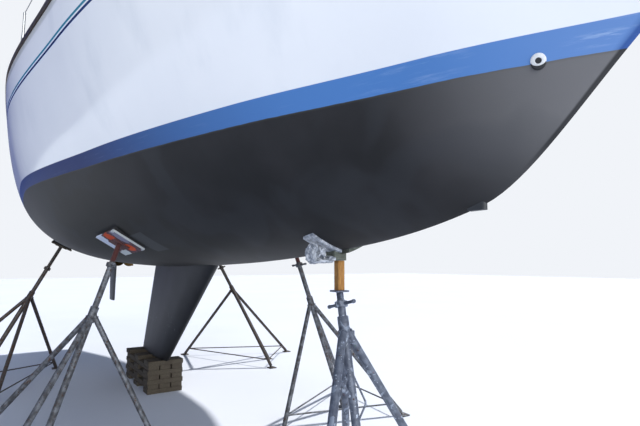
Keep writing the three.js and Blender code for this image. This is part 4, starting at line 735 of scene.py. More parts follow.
# Stand tubes: patchy paint and rust, paler or darker from stand to stand, with paint spots; on the bow
# stand the pale grey-blue spots are spattered paint and painted highlights along the tubes
PALE_STEEL = worn_steel("grey_painted_stand_tube", "#4b5261", "#6a7281", rust_from=0.62,
                        spots=[(60, 0.62, "#7f899a"), (34, 0.67, "#98a3b4"), (18, 0.72, "#bac4d0"),
                               (22, 0.74, "#2f6b3a"), (30, 0.73, "#7d2c26")])
MID_STEEL = worn_steel("galvanised_stand_tube", "#3b3d42", "#6b7078", rust_from=0.56, rusted_above=1.8)
DARK_STEEL = worn_steel("dark_rusted_stand_tube", "#33302e", "#474341", rust_from=0.53)

# The record's slot of each finish
SLOTS = {
    "hull": [HULL_PAINT], "antifouling": [KEEL_PAINT, BOTTOM_PAINT], "deck_moulding": [GRIP, MOULDING],
    "stainless": [STAINLESS, WIRE], "spar": [SPAR, ROPE], "toe_rail": [RAIL], "bronze": [BRONZE],
    "glass": [HATCH_GLASS, CLEAR], "canvas": [CANVAS, CUSHION], "sailcloth": [SAILCLOTH],
    "joinery": [JOINERY, TEAK], "engine": [ENGINE], "plastic": [PLASTIC, BLACK], "board": [WRAP],
    "timber": [TIMBER, CHOCK, GREY_BOARD], "pad": [PAD, PACKING_AND_GAP_SHADE],
    "steel": [PALE_STEEL, MID_STEEL, DARK_STEEL],
}
SLOT_OF = {finish: slot for slot, finishes in SLOTS.items() for finish in finishes}


# Camera, light and floor, at the photograph's viewing angle

def add_sun(name, energy, colour, angle, height, azimuth):
    """Sun lamp from a height and an azimuth, both in degrees, the azimuth from +X towards +Y."""
    sun = bpy.data.lights.new(name, "SUN")
    sun.energy, sun.angle, sun.color = energy, math.radians(angle), colour
    lamp = bpy.data.objects.new(name, sun)
    bpy.context.scene.collection.objects.link(lamp)
    lamp.rotation_euler = (math.radians(90 - height), 0, math.radians(azimuth + 90))


def set_view():
    """Camera, lamps, backdrop and floor. The camera's place, tilt, heading and focal length were
    fitted to the photograph's outlines together with the hull."""
    lens, sensor, tilt_up, heading = 26.42, 36.0, 6.154, 56.052
    camera = bpy.data.cameras.new("view")
    camera.lens, camera.sensor_width, camera.clip_end = lens, sensor, 500
    eye = bpy.data.objects.new("view", camera)
    bpy.context.scene.collection.objects.link(eye)
    eye.location = (5.685, -1.965, 1.764)
    eye.rotation_euler = (math.radians(90 + tilt_up), 0, math.radians(heading))
    bpy.context.scene.camera = eye
    # Key light behind the hull as the camera sees it, and a broad weak one from over the bow
    add_sun("key", 4.6, (1.0, 0.97, 0.92), 2.0, 57, 108)
    add_sun("fill", 3.4, (1.0, 0.99, 0.965), 60.0, 9, -8)
    # Backdrop: pale at the horizon, bluer overhead and low aft. Seen directly it is a plain sheet
    world = bpy.data.worlds.new("studio")
    bpy.context.scene.world = world
    r = Recipe("studio", world)
    x, y, z = r.put("axes", r.where)
    air = r.put("mix", r.put("step", z, 0.15, 0.9), "#eaf1fb", "#9dbcf2")
    aft = r.put("MULTIPLY", r.put("step", x, -0.45, -0.88), r.put("step", y, 0.35, -0.1))
    air = r.put("mix", r.put("MULTIPLY", aft, r.put("step", z, 0.85, 0.4)), air, "#1634a8")
    r.fill(r.shader, ((0, r.put("ray")), (1, r.put("glow", air, 0.5)), (2, r.put("glow", "#f1f4f9", 1.0))))
    size = 60.0
    mesh = bpy.data.meshes.new("floor")
    mesh.from_pydata([(x * size, y * size, 0) for x, y in ((-1, -1), (1, -1), (1, 1), (-1, 1))], [],
                     [(0, 1, 2, 3)])
    floor = bpy.data.objects.new("floor", mesh)
    bpy.context.scene.collection.objects.link(floor)
    r = Recipe("pale_studio_floor")
    shade = r.put("mix", r.put("noise", mm(2600), 4), "#c2c8d4", "#ccd1db")
    mesh.materials.append(r.set(Base_Color=shade, Roughness=0.85))
    bpy.context.scene.view_settings.view_transform = "Standard"


set_view()


# Hull skin: the paint on the hull's outside, from the sheer round the keel to the other sheer

def hull_skin():
    """Skin over the sections. Forward of the stem head it closes in a half ellipse, and the
    transom is ruled from side to side. The skin is moved out along its normals by the paint."""
    t = np.linspace(0, 1, 74)
    s = np.linspace(0, 1, 200) ** 1.35
    side = hull_points(s[:, None], t[None])
    turn = np.linspace(np.pi / 2, 0, 6)[:-1, None]
    stem = np.stack([side[0, :, 0] + 0.8 * side[0, :, 1] * np.sin(turn), side[0, :, 1] * np.cos(turn),
                     np.broadcast_to(side[0, :, 2], (len(turn), len(t)))], -1)
    side = np.concatenate([stem, side])
    across = unit(np.cross(np.gradient(side, axis=1), np.gradient(side, axis=0)))
    across[:, 0, 1] = 0
    across = unit(across)
    across[np.isnan(across)] = 0
    inward = across[..., 1:2] + (side[..., 1:2] < 1e-4) * -across[..., 2:3] < 0
    outward = np.where(inward, -across, across)
    port = side + outward * PAINT
    port[:, 0, 1] = 0
    port[0, :, 1] = 0
    # The last section is moved square to the raked transom instead
    rake = TRANSOM_RAKE * (port[-1, :, 2] - side[-1, :, 2])
    port[-1, :, 0] = side[-1, :, 0] + rake - PAINT * math.hypot(1, TRANSOM_RAKE)
    far = port * [1, -1, 1]
    ring = np.concatenate([port[:, ::-1], far[:, 1:]], 1)
    p, f = grid(ring)
    share = np.linspace(1, -1, 25)[None, :, None]
    edge = ring[-1, :len(t)]
    wall = edge[:, None] * np.concatenate([share * 0 + 1, share, share * 0 + 1], -1)
    q, g = grid(wall[:, ::-1])
    sheer = COLUMN["sheer_z"](np.concatenate([np.zeros(5), s]))[:, None] + BOOT_Z
    drop = np.concatenate([(sheer - ring[..., 2]).ravel(), (sheer[-1] - wall[..., 2]).ravel()])
    item = piece("hull_paint", [(p, f), (q, g)], HULL_PAINT, smooth=40, values={"drop": drop}, weld=2e-4)
    finish_of(item, "SOLIDIFY", thickness=0.009, offset=-1)


hull_skin()


# Keel and rudder: one fin function

HALF_FIN = np.array([(0, 0), (0.02, 0.34), (0.08, 0.66), (0.2, 0.93), (0.36, 1), (0.6, 0.78), (0.82, 0.42),
                     (1, 0.045)])


def fin(top, foot, thickness, steps=40):
    """Fin between two chords (front, back, z): the half breadth is a smooth curve of the square
    root of the chord's share, times the chord and the thickness. The foot's edge is rounded."""
    share = np.linspace(0, 1, 34) ** 1.6
    half = monotone(np.sqrt(HALF_FIN[:, 0]), HALF_FIN[:, 1])(np.sqrt(share))
    u = np.concatenate([share, share[-1:0:-1]])
    w = np.concatenate([half, -half[-1:0:-1]])
    down = np.concatenate([np.linspace(0, 0.985, steps), [0.992, 0.997, 1.0]])
    pull = np.concatenate([np.ones(steps), [0.97, 0.9, 0.8]])
    front = (top[0] + (foot[0] - top[0]) * down)[:, None]
    back = (top[1] + (foot[1] - top[1]) * down)[:, None]
    z = (top[2] + (foot[2] - top[2]) * down)[:, None]
    size = thickness[0] + (thickness[1] - thickness[0]) * down[:, None]
    chord = front - back
    half_breadth = w * size * chord / 2 * pull[:, None]
    return capped(np.stack([front - u * chord, half_breadth, np.broadcast_to(z, (len(down), len(u)))], -1))


keel_fin = fin((0.7447, -1.7277, 1.76), (-0.981, -2.321, 0.434), (0.105, 0.105))
piece("keel_casting", [keel_fin], KEEL_PAINT, smooth=50, node="keel")
rudder_fin = fin((-4.79, -5.48, 2.272), (-4.85, -5.33, 1.01), (0.13, 0.12))
rudder_stock = rod((-4.95, 0, 2.1), (-4.95, 0, 2.478), 0.032, sides=24)
piece("rudder_blade", [rudder_fin, rudder_stock], BOTTOM_PAINT, body="rudder", smooth=50, node="rudder")

# Timber stack: cross boards and long boards in turn, each a little out of true


def timber_stack():
    """Each board is a rounded block whose ends and faces wander by a few millimetres."""
    chance = np.random.default_rng(7)
    front, back, half, layers, top = -1.055, -2.380, 0.24, 7, 0.4336
    cross, long = 0.23, 0.145
    rise, middle = top / layers, (front + back - cross) / 2
    parts = []
    for i in range(layers):
        z0, z1 = i * rise + 0.0006, (i + 1) * rise - 0.0006
        if i % 2 == 0:
            rows = [(x, x + cross, -half, half) for x in (back, middle, front - cross)]
        else:
            rows = [(back + 0.005, front - 0.005, y, y + long)
                    for y in (0.008 - half, -long / 2, half - long - 0.008)]
        for x0, x1, y0, y1 in rows:
            a = chance.uniform(-0.007, 0.007, 6)
            bow = chance.uniform(-1, 1, 3)

            def warp(p, bow=bow):
                wave = np.sin(p[..., 0:1] * 9 + bow[0] * 3) * 0.0012
                wave = wave + np.sin(p[..., 1:2] * 23 + bow[1] * 3) * 0.001
                return p + np.concatenate([wave, wave * bow[2], wave * 0.25], -1)

            low, high = (x0 + a[0] * 0.6, y0 + a[1] * 0.6, z0), (x1 + a[2] * 0.6, y1 + a[3] * 0.6, z1)
            parts.append(block(low, high, 0.0035, warp=warp))
    piece("keel_timbers", parts, TIMBER, smooth=40, node="keel_timber_stack")


timber_stack()


# Stands: the same values as the solids have
POST_RADIUS = 0.03
FOOT_Z = 0.012
PLATE = np.array([0.085, 0.085, 0.006])
# Name, pad's place and turn, post's foot, heights of collar and nut, feet, leg's radius, finish
STANDS = [
    ("bow", None, 0, (3.29, 0.03), 1.34, 1.48,
     [(3.66, -0.68), (3.2, 0.85), (2.42, 0.5)], 0.029, PALE_STEEL),
    ("mid", (0.68, 0.985), -10, (0.835, 1.647), 1.3, 1.75,
     [(1.12, 0.64), (1.48, 2.03), (0.1, 2.2)], 0.025, MID_STEEL),
    ("aft", (-2.6, 1.2), 5, (-2.3, 2.25), 1.3, 1.69,
     [(-3.6, 1.1), (-1.6, 1.95), (-2.75, 2.9)], 0.025, DARK_STEEL),
]
CHOCK_TOP = np.array((2.96, 0.036, 1.5766))


def along(a, b, z):
    """Point of the line from a down to b at height z."""
    a, b = np.asarray(a, float), np.asarray(b, float)
    return a + (b - a) * (a[2] - z) / (a[2] - b[2])


def stand_parts(head, post, collar, nut, feet, leg):
    """Central post with its screw, nut and handle, three legs from the collar down to foot
    plates, braces near the ground, and weld beads round the joints."""
    foot = np.array([*post, FOOT_Z])
    at = lambda z: along(head, foot, z)
    apex = at(collar)
    # Threaded screw above the collar: radius rises and falls along it
    turns = np.linspace(0, 1, 150)
    screw = at(nut) + turns[:, None] * (np.asarray(head) - at(nut))
    axis = unit(np.asarray(head) - foot)
    side = unit(np.cross(axis, [0, 1, 0]))
    collar_ring = [(0.03, -0.09), (0.039, -0.088), (0.039, 0.055), (0.036, 0.06), (0.03, 0.06)]
    nut_ring = [(0.029, -0.024), (0.045, -0.02), (0.047, 0.0), (0.045, 0.02), (0.029, 0.024)]
    knob = [(0.011, -0.012), (0.014, -0.008), (0.014, 0.008), (0.011, 0.012)]
    parts = [
        rod(foot, at(collar + 0.06), POST_RADIUS, sides=24, steps=12),
        tube(screw, POST_RADIUS * 0.82 + 0.0016 * np.sin(turns * 2 * np.pi * 24), 20),
        rod(at(collar + 0.05), at(nut + 0.03), POST_RADIUS * 0.93, sides=24),
        turned(collar_ring, apex, axis), turned(nut_ring, at(nut), axis, 8),
        rod(at(nut) - side * 0.15, at(nut) + side * 0.15, 0.011, sides=12),
        *[turned(knob, at(nut) + side * 0.145 * end, side, 12) for end in (-1, 1)],
    ]
    low = []
    bead = [(leg * 0.98, -0.006), (leg + 0.006, -0.002), (leg + 0.006, 0.004), (leg * 0.98, 0.008)]
    for x, y in feet:
        toe = np.array([x, y, FOOT_Z])
        way = unit(toe - apex)
        # The cut end of a leg rests its lower rim on the foot plate
        start = toe + (apex - toe) * leg * 0.8 / collar
        parts += [rod(start, apex, leg, sides=20, steps=10), turned(bead, apex + way * 0.055, way, 20)]
        low.append(toe + (apex - toe) * 0.09)
    for x, y in [*feet, post]:
        parts.append(block((x - 0.062, y - 0.062, 0.0003), (x + 0.062, y + 0.062, 0.014), 0.004))
        parts.append(turned([(0.028, 0), (0.038, 0.002), (0.034, 0.01), (0.028, 0.013)], (x, y, FOOT_Z)))
    parts += [rod(low[i], low[(i + 1) % 3], 0.009, sides=10) for i in range(3)]
    return parts


def build_stands():
    """The bow stand is on the centreline, and the others stand in mirrored pairs."""
    _, _, _, post, collar, nut, feet, leg, steel = STANDS[0]
    parts = stand_parts(CHOCK_TOP, post, collar, nut, feet, leg)
    x, y, z = CHOCK_TOP
    parts.append(block((x - 0.05, y - 0.05, z - 0.012), (x + 0.05, y + 0.05, z), 0.002))
    # Thin adjusting rod beside the right-hand leg, and a lug where it is pinned
    foot = np.array([*post, FOOT_Z])
    at = lambda z: along(CHOCK_TOP, foot, z)
    apex = at(collar)
    toe = np.array([*feet[1], FOOT_Z])
    parts.append(rod(apex + [0, 0.03, -0.1], apex + (toe - apex) * 0.5 + [0.012, -0.03, 0], 0.009))
    parts.append(block(apex + [-0.02, 0.03, -0.12], apex + [0.03, 0.075, -0.04], 0.006))
    # Crossed flat bars between the post and the leg to starboard, with a bolt where they meet
    toe = np.array([*feet[0], FOOT_Z])
    left = lambda z: apex + (toe - apex) * (apex[2] - z) / (apex[2] - FOOT_Z)
    for a, b in ((left(1.03), at(0.86)), (left(0.86), at(1.03))):
        parts.append(tube(a + np.linspace(0, 1, 4)[:, None] * (b - a), 0.012, 8, shape=(0.5, 1.3)))
    middle = (left(0.945) + at(0.945)) / 2
    bolt = [(0.004, -0.014), (0.013, -0.012), (0.013, 0.012), (0.004, 0.014)]
    parts.append(turned(bolt, middle, (0.8, -0.5, 0), 6))
    # Thin bent bar to port of the post
    out = np.array([0.5585, 0.8295, 0])
    bar = [at(1.02) + out * 0.02, at(0.84) + out * 0.085, at(0.73) + out * 0.018]
    parts.append(bent(bar, 0.007, 0.02, 8))
    piece("bow_stand_frame", parts, steel, node="stand_bow")
    for name, pad, turn, post, collar, nut, feet, leg, steel in STANDS[1:]:
        for side, sign in BOTH:
            x, y = pad[0], sign * pad[1]
            axes = pad_axes(x, y, sign * turn)
            origin = np.array([x, y, bottom_z(x, y)])
            head = origin + axes[2] * (-PAD_THICKNESS - 0.0004 - PLATE[2])
            mirrored = [(a, sign * b) for a, b in feet]
            parts = stand_parts(head, (post[0], sign * post[1]), collar, nut, mirrored, leg)
            parts.append(block(-PLATE, PLATE, 0.003, axes=axes, centre=head))
            piece(f"{name}_stand_frame_{side}", parts, steel, node=f"stand_{name}_{side}")


build_stands()

# Pads under the hull

def pad_boards():
    """Plywood board on each pad's own axes, with rounded edges below, and on it a narrower black
    packing, its top fitted to the hull's skin at each point. The packing's black is painted shade
    of the gap between board and hull."""
    u = np.concatenate([[-1, -1, -0.992], np.linspace(-0.975, 0.975, 21), [0.992, 1, 1]])
    uu, vv = np.meshgrid(u, u, indexing="ij")
    drawn = np.clip((np.maximum(np.abs(uu), np.abs(vv)) - 0.975) / 0.025, 0, 1)
    n = len(u)
    edge = np.concatenate([np.arange(n), np.arange(1, n) * n + n - 1,
                           (n - 1) * n + np.arange(n - 2, -1, -1), np.arange(n - 2, 0, -1) * n])
    under = n * n + (edge // n) * n + (n - 1 - edge % n)
    wall = np.stack([edge, under, np.roll(under, -1), np.roll(edge, -1)], -1)
    for centre, _, (length, width), axes, name, side, sign in PAD_ROWS:
        def at(share, z):
            flat = np.stack([uu * length / 2 * share, vv * width / 2 * share, z + 0 * uu], -1)
            return flat @ axes + centre

        def layer(top, low):
            p, f = grid(top)
            q, g = grid(low[:, ::-1])
            return np.concatenate([p, q]), np.concatenate([f, g + n * n, wall])

        rounded = 0.004 * (1 - np.sqrt(1 - drawn ** 2))
        board = layer(at(1, -PAD_THICKNESS + 0.02), at(1, -PAD_THICKNESS + rounded))
        share_v = np.concatenate([(vv * sign).ravel(), (vv * sign)[:, ::-1].ravel()])
        share_u = np.concatenate([uu.ravel(), uu[:, ::-1].ravel()])
        piece(f"pad_board_{name}_{side}", board, PAD if name == "mid" else TIMBER, slot="pad", smooth=40,
              weld=1e-5, values={"share_u": share_u, "share_v": share_v}, node=f"pad_{name}_{side}")
        # Packing, black as painted shade of the gap under the hull
        top = at(0.93, 0)
        top[..., 2] = np.minimum(bottom_z(top[..., 0], top[..., 1]) - 0.0012, top[..., 2] + 0.028)
        packing = layer(top, at(0.93, -PAD_THICKNESS + 0.0202))
        piece(f"pad_packing_{name}_{side}", packing, PACKING_AND_GAP_SHADE, smooth=40, weld=1e-5)


pad_boards()


def under_hull(x0, x1, y0, y1, thick, gap=0.0012, cols=14, rows=8):
    """Board pressed up against the hull: its top follows the skin over the grid of x and y, and its
    underside is the same surface let down by the thickness."""
    xs, ys = np.linspace(x0, x1, rows), np.linspace(y0, y1, cols)
    xx, yy = np.meshgrid(xs, ys, indexing="ij")
    top = np.stack([xx, yy, bottom_z(xx, yy) - gap], -1)
    low = top - [0, 0, thick]
    ring = np.concatenate([top, low[:, ::-1]], 1)
    return capped(ring)


def crumpled(centre, half, seed, rows=56, cols=84, depth=0.3):
    """Wrapped bundle: a rounded box form, each half axis times a blunt power of the sine and
    cosine of the two turns. It is folded flat in cells: the cell of a direction is that of the
    nearest of 30 chance directions, and each cell has its own depth and tilt."""
    chance = np.random.default_rng(seed)
    a = np.linspace(-np.pi / 2 * 0.985, np.pi / 2 * 0.985, rows)[:, None]
    b = round_turn(cols)[None]
    ca, sa, cb, sb = (blunt(wave, 0.6) for wave in (np.cos(a), np.sin(a), np.cos(b), np.sin(b)))
    shape = np.stack([ca * cb, ca * sb, np.broadcast_to(sa, (rows, cols))], -1)
    way = shape / np.linalg.norm(shape, axis=-1, keepdims=True)
    aims = chance.normal(size=(30, 3))
    aims /= np.linalg.norm(aims, axis=-1, keepdims=True)
    cell = (way @ aims.T).argmax(-1)
    tilt = chance.uniform(-0.7, 0.7, (30, 3))[cell]
    swell = 1 - depth * chance.uniform(0, 1, 30)[cell] + ((way - aims[cell]) * tilt).sum(-1)
    swell = np.clip(swell, 0.45, 1.04)[..., None]
    return capped(np.asarray(centre) + shape * swell * np.asarray(half))


def bow_pad():
    """Chock on the screw, a head block, a wrapped bundle and a board to starboard, and a grey
    board to port, all pressed up under the stem."""
    chock = block((2.933, 0.009, 1.5775), (2.987, 0.063, 1.786), 0.003)
    piece("bow_pad_chock", [chock], CHOCK, smooth=40, node="pad_bow")
    head = block((2.915, -0.05, 1.7865), (3.02, 0.055, 1.86), 0.004)
    port = under_hull(2.893, 3.107, 0.012, 0.212, 0.03)
    piece("bow_pad_board_port", [port, head], GREY_BOARD, smooth=40)
    piece("bow_pad_board_starboard", [under_hull(2.93, 3.05, -0.25, -0.006, 0.019)], WRAP, smooth=40)
    low = float(bottom_z(3.0, -0.17)) - 0.03
    bundles = [crumpled((x, y, low - drop), half, seed) for x, y, drop, half, seed in (
        (3.0, -0.228, 0.052, (0.052, 0.032, 0.068), 3), (3.0, -0.165, 0.052, (0.05, 0.033, 0.04), 8),
        (3.0, -0.135, 0.108, (0.05, 0.078, 0.017), 5), (2.98, -0.2, 0.1, (0.045, 0.03, 0.03), 12),
        (3.0, -0.075, 0.094, (0.045, 0.03, 0.022), 21))]
    bundle = piece("bow_pad_wrapped_bundle", bundles, WRAP, smooth=20)


bow_pad()


# Fittings on the hull

def skin_at(x, z):
    """Place on the port side of the skin at a height, and its outward direction, from the slope of
    the half breadth along x and z."""
    t = np.linspace(0, 1, 4001)

    def half(x, z):
        p = hull_points((BOW_X - x) / HULL_LENGTH, t)
        return float(np.interp(z, p[:, 2], p[:, 1]))

    h = 0.004
    slope_x = (half(x + h, z) - half(x - h, z)) / (2 * h)
    slope_z = (half(x, z + h) - half(x, z - h)) / (2 * h)
    return np.array([x, half(x, z), z]), unit(np.array([-slope_x, 1.0, -slope_z]))


def bow_outlet():
    """Skin fitting: a flanged ring turned about the hull's normal, with a black disc set down its
    bore as painted shade of the hole, and a dark crescent below it."""
    place, way = skin_at(4.636, BOOT_Z + 0.010)
    place, way = place * [1, -1, 1], way * [1, -1, 1]
    flange = [(0.0125, -0.022), (0.0125, 0.0075), (0.0145, 0.0098), (0.026, 0.0092), (0.0306, 0.0062),
              (0.031, 0.0032), (0.031, -0.012), (0.0125, -0.022)]
    piece("bow_outlet_flange", [tube_of(flange, place, way, 40)], PLASTIC, node="bow_outlet")
    # Painted shade: the black disc down the bore stands for the dark inside of the hole
    piece("bow_outlet_bore", [turned([(0.0122, -0.006), (0.0122, 0.0045)], place, way, 28)], BLACK)
    # Dark crescent below the flange
    turn = np.linspace(np.pi * 1.08, np.pi * 1.92, 26)
    side = unit(np.cross(way, UP))
    over = np.cross(side, way)
    path = place + way * 0.0065 + 0.029 * (np.cos(turn)[:, None] * side + np.sin(turn)[:, None] * over)
    radius = 0.0095 * np.sin(np.linspace(0.12, np.pi - 0.12, 26))
    piece("bow_outlet_dark_crescent", [tube(path, radius, 10)], BLACK)


def tube_of(profile, centre, axis, sides=24):
    """Ring turned from a closed profile: the profile's last point is its first."""
    p, f = turned(profile[:-1], centre, axis, sides)
    p, f = p[:-2], f[f[:, 3] >= 0]
    rows = len(profile) - 1
    c = np.arange(sides)
    c2 = (c + 1) % sides
    close = np.stack([(rows - 1) * sides + c, (rows - 1) * sides + c2, c2, c], -1)
    return p, np.concatenate([f, close])


bow_outlet()


# Deck, cabin and cockpit mouldings: edges rounded as a mould leaves them
MOULDED = [
    ("coachroof", MOULDING, 0.012), ("cockpit_tub", MOULDING, 0.012),
    ("deck", MOULDING, 0.006), ("steering_pedestal", MOULDING, 0.014),
    ("sliding_hatch", MOULDING, 0.007), ("anchor_locker_lid", GRIP, 0.006),
    ("locker_lid_port", GRIP, 0.007), ("locker_lid_starboard", GRIP, 0.007),
    ("fore_hatch_lid", HATCH_GLASS, 0.006), ("saloon_hatch_lid", HATCH_GLASS, 0.006),
    ("washboard", JOINERY, 0.003), ("companionway_steps", JOINERY, 0.006),
    ("saloon_joinery", JOINERY, 0.008), ("saloon_bulkhead", JOINERY, 0.006),
    ("engine_block", ENGINE, 0.02), ("sounder_fairing", BOTTOM_PAINT, 0.004),
    ("bow_roller", STAINLESS, 0.003), ("swim_ladder", STAINLESS, 0.002),
]
for node, finish, width in MOULDED:
    moulded(node, finish, width, 46 if node == "coachroof" else 30)

# Cabin: the same rows as the solid has: x, half breadths at base, top, height over the deck
CABIN_TABLE = np.array([(2.56, 0.43, 0.33, 0.06), (2.38, 0.56, 0.43, 0.19), (1.9, 0.76, 0.62, 0.3),
                        (0.9, 1.01, 0.88, 0.38), (-0.4, 1.12, 1.0, 0.43), (-1.9, 1.08, 0.97, 0.45)])[::-1]
WELL_Z, SEAT_Z, BERTH_Z = 3.2432, 3.6732, 2.691


def roof_z(x, y=0.0):
    """Height of the cabin's roof: straight between the rows, plus the roof's own crown."""
    x = np.asarray(x, float)
    row = np.interp(x, CABIN_TABLE[:, 0], deck_z(CABIN_TABLE[:, 0]) + CABIN_TABLE[:, 3])
    return row + 0.02 - 0.01 * np.minimum(np.abs(y) / cabin_half(x, 2) / 0.5, 1)


def cabin_half(x, column):
    """Half breadth of the cabin at x: column 1 at its base, 2 at its top."""
    return np.interp(x, CABIN_TABLE[:, 0], CABIN_TABLE[:, column])


def panel(x0, x1, inner, outer, height, rise=0.0028, corner=0.06, rows=40, cols=10):
    """Raised panel over a surface: inner and outer give its y at each x, its corners are drawn in
    along a quarter circle, and its edge falls to just under the surface."""
    x = np.linspace(x0, x1, rows)
    end = np.minimum(x - x0, x1 - x)
    pull = corner - np.sqrt(np.maximum(corner ** 2 - np.maximum(corner - end, 0) ** 2, 0))
    a, b = inner(x), outer(x)
    away = np.sign(b - a)
    a, b = a + away * pull, b - away * pull
    share = np.linspace(0, 1, cols)
    yy = a[:, None] + (b - a)[:, None] * share[None]
    xx = np.broadcast_to(x[:, None], yy.shape)
    top = np.stack([xx, yy, height(xx, yy) + rise], -1)
    skirt = (top - [0, 0, rise + 0.0016])[:, ::-1]
    return capped(np.concatenate([top, skirt], 1)[:, ::int(np.sign(b[0] - a[0]) or 1)])


def grip_panels():
    """Grip panels on the side decks, the foredeck and the cabin's roof, in mirrored pairs."""
    parts = []
    for sign in (1, -1):
        edge = lambda inset: lambda x: sign * (sheer_at(x)[..., 1] - inset)
        wall = lambda gap: lambda x: sign * (cabin_half(x, 1) + gap)
        level = lambda y: lambda x: sign * y + 0 * x
        for x0, x1 in ((-1.75, -0.62), (-0.54, 0.42), (0.5, 0.9), (1.6, 2.28)):
            parts.append(panel(x0, x1, wall(0.075), edge(0.24), deck_z))
        parts.append(panel(2.68, 3.38, level(0.36), edge(0.2), deck_z))
        parts.append(panel(3.46, 4.34, level(0.03), edge(0.17), deck_z))
        parts.append(panel(-4.66, -1.98, level(1.11), edge(0.2), deck_z, rows=60))
        parts.append(panel(-5.32, -4.84, level(0.05), edge(0.3), deck_z))
        half_way = lambda x: sign * (cabin_half(x, 2) * 0.5)
        parts.append(panel(-0.42, 0.84, level(0.34), half_way, roof_z, cols=4))
        parts.append(panel(0.08, 0.86, level(0.02), level(0.3), roof_z))
        parts.append(panel(1.42, 1.84, level(0.02), level(0.26), roof_z))
    piece("deck_grip_panels", parts, GRIP, smooth=50)


grip_panels()


def teak_slats():
    """Slats on the cockpit's sole, the two lids and the helm's seat, each a rounded batten."""
    battens = []
    for y in np.arange(-0.345, 0.35, 0.062):
        battens.append(block((-4.3, y - 0.026, WELL_Z + 0.001), (-1.99, y + 0.026, WELL_Z + 0.019), 0.004))
    for x in (-4.2, -3.2, -2.2):
        battens.append(block((x - 0.03, -0.36, WELL_Z - 0.003), (x + 0.03, 0.36, WELL_Z + 0.005), 0.003))
    piece("cockpit_sole_grating", battens, TEAK, smooth=40)
    for side, sign in BOTH:
        top = SEAT_Z + 0.023
        slats = []
        for y in np.arange(0.505, 0.88, 0.058):
            low, high = (-3.42, sign * y - 0.025, top - 0.001), (-2.28, sign * y + 0.025, top + 0.009)
            slats.append(block(low, high, 0.003))
        piece(f"seat_slats_{side}", slats, TEAK, body=f"locker_lid_{side}", smooth=40)
    helm = [block((-4.7, y - 0.026, SEAT_Z + 0.0005), (-4.345, y + 0.026, SEAT_Z + 0.01), 0.003)
            for y in np.arange(-0.84, 0.85, 0.06)]
    piece("helm_seat_slats", helm, TEAK, smooth=40)


teak_slats()

# Toe rail: an extrusion on the sheer, with a foot flange, a web and a rounded cap

TOE = np.array([(0.0086, 0.0), (0.0086, 0.056), (0.006, 0.0605), (0.0, 0.062), (-0.004, 0.0605),
                (-0.0055, 0.056), (-0.0055, 0.0075), (-0.0285, 0.005), (-0.0295, 0.0035), (-0.0295, 0.0)])


def toe_rails():
    """The section (out from the edge, up) is carried round the sheer from the stem to the transom,
    square to the edge's line. Slots are black plates 0.6 mm off both faces of the web, painted shade
    in place of openings."""
    s = np.concatenate([np.linspace(0.0125, 0.1, 40), np.linspace(0.105, 0.9995, 150)])
    for side, sign in BOTH:
        edge = hull_points(s, 1.0)
        tangent = unit(np.gradient(edge, axis=0))
        out = unit(np.cross(tangent, UP))
        out = np.where(out[:, 1:2] < 0, -out, out)
        out[:, 2] = 0
        base = edge + [0, 0, 0.0148]
        points = base[:, None] + TOE[None, :, 0:1] * out[:, None] + TOE[None, :, 1:2] * UP
        points = points * [1, sign, 1]
        piece(f"toe_rail_extrusion_{side}", [capped(points[:, ::sign])], RAIL, smooth=35, weld=1e-6,
              node=f"toe_rail_{side}")
        # Slots: middle of each, its length and height along the web
        length = np.concatenate([[0], np.cumsum(np.linalg.norm(np.diff(edge, axis=0), axis=1))])
        middle = np.arange(0.35, length[-1] - 0.3, 0.105)
        at = lambda d: np.stack([np.interp(d, length, base[:, i]) for i in range(3)], -1)
        turn = round_turn(12)
        reach, rise = 0.026 * blunt(np.cos(turn), 0.5), 0.0085 * blunt(np.sin(turn), 0.6)
        centre = at(middle)
        way = unit(at(middle + 0.02) - at(middle - 0.02))
        square = unit(np.cross(way, UP))
        square = np.where(square[:, 1:2] < 0, -square, square)
        # Painted shade: black plates on both faces of the web stand for the slots' dark openings
        plates = []
        for depth in (0.0092, -0.0061):
            p = (centre[:, None] + reach[None, :, None] * way[:, None] + square[:, None] * depth
                 + UP * (0.031 + rise)[None, :, None]) * [1, sign, 1]
            n = len(turn)
            face = np.arange(len(middle)) * n
            fan = np.concatenate([np.stack([face, face + i, face + i + 1, face * 0 - 1], -1)
                                  for i in range(1, n - 1)])
            if (depth > 0) == (sign > 0):
                fan = fan[:, [0, 2, 1, 3]]
            plates.append((p.reshape(-1, 3), fan))
        piece(f"toe_rail_slots_{side}", plates, BLACK, slot="toe_rail")


toe_rails()

# Rails: pulpit, pushpit, stanchions and guard wires

RAIL_HEIGHT = 0.61
SOCKET = [(0.034, 0), (0.034, 0.005), (0.03, 0.008), (0.021, 0.012), (0.018, 0.026), (0.0126, 0.028)]
STANCHION = [(0.0125, 0.004), (0.0125, 0.585), (0.0135, 0.587), (0.0135, 0.606), (0.009, 0.6105),
             (0.001, 0.6115)]
# Radii along the screw and the eye of a guard wire, and radius and place along a stay's screw
GUARD_SCREW = np.array([0.0055, 0.0055, 0.009, 0.009, 0.007, 0.007, 0.009, 0.009, 0.0055])
GUARD_EYE = np.array([0.008, 0.008, 0.005, 0.005])
STAY_SCREW = np.array([(0.006, 0.045), (0.008, 0.05), (0.008, 0.11), (0.0125, 0.115), (0.0125, 0.27),
                       (0.008, 0.275), (0.008, 0.33), (0.006, 0.335)])
FAR = np.array([1.0, -1.0, 1.0])


def rail_foot(x, inset):
    """Place on the deck for a post, inset from the sheer."""
    y = float(sheer_at(x)[1]) - inset
    return np.array([x, y, float(deck_z(x, y)) + 0.001])


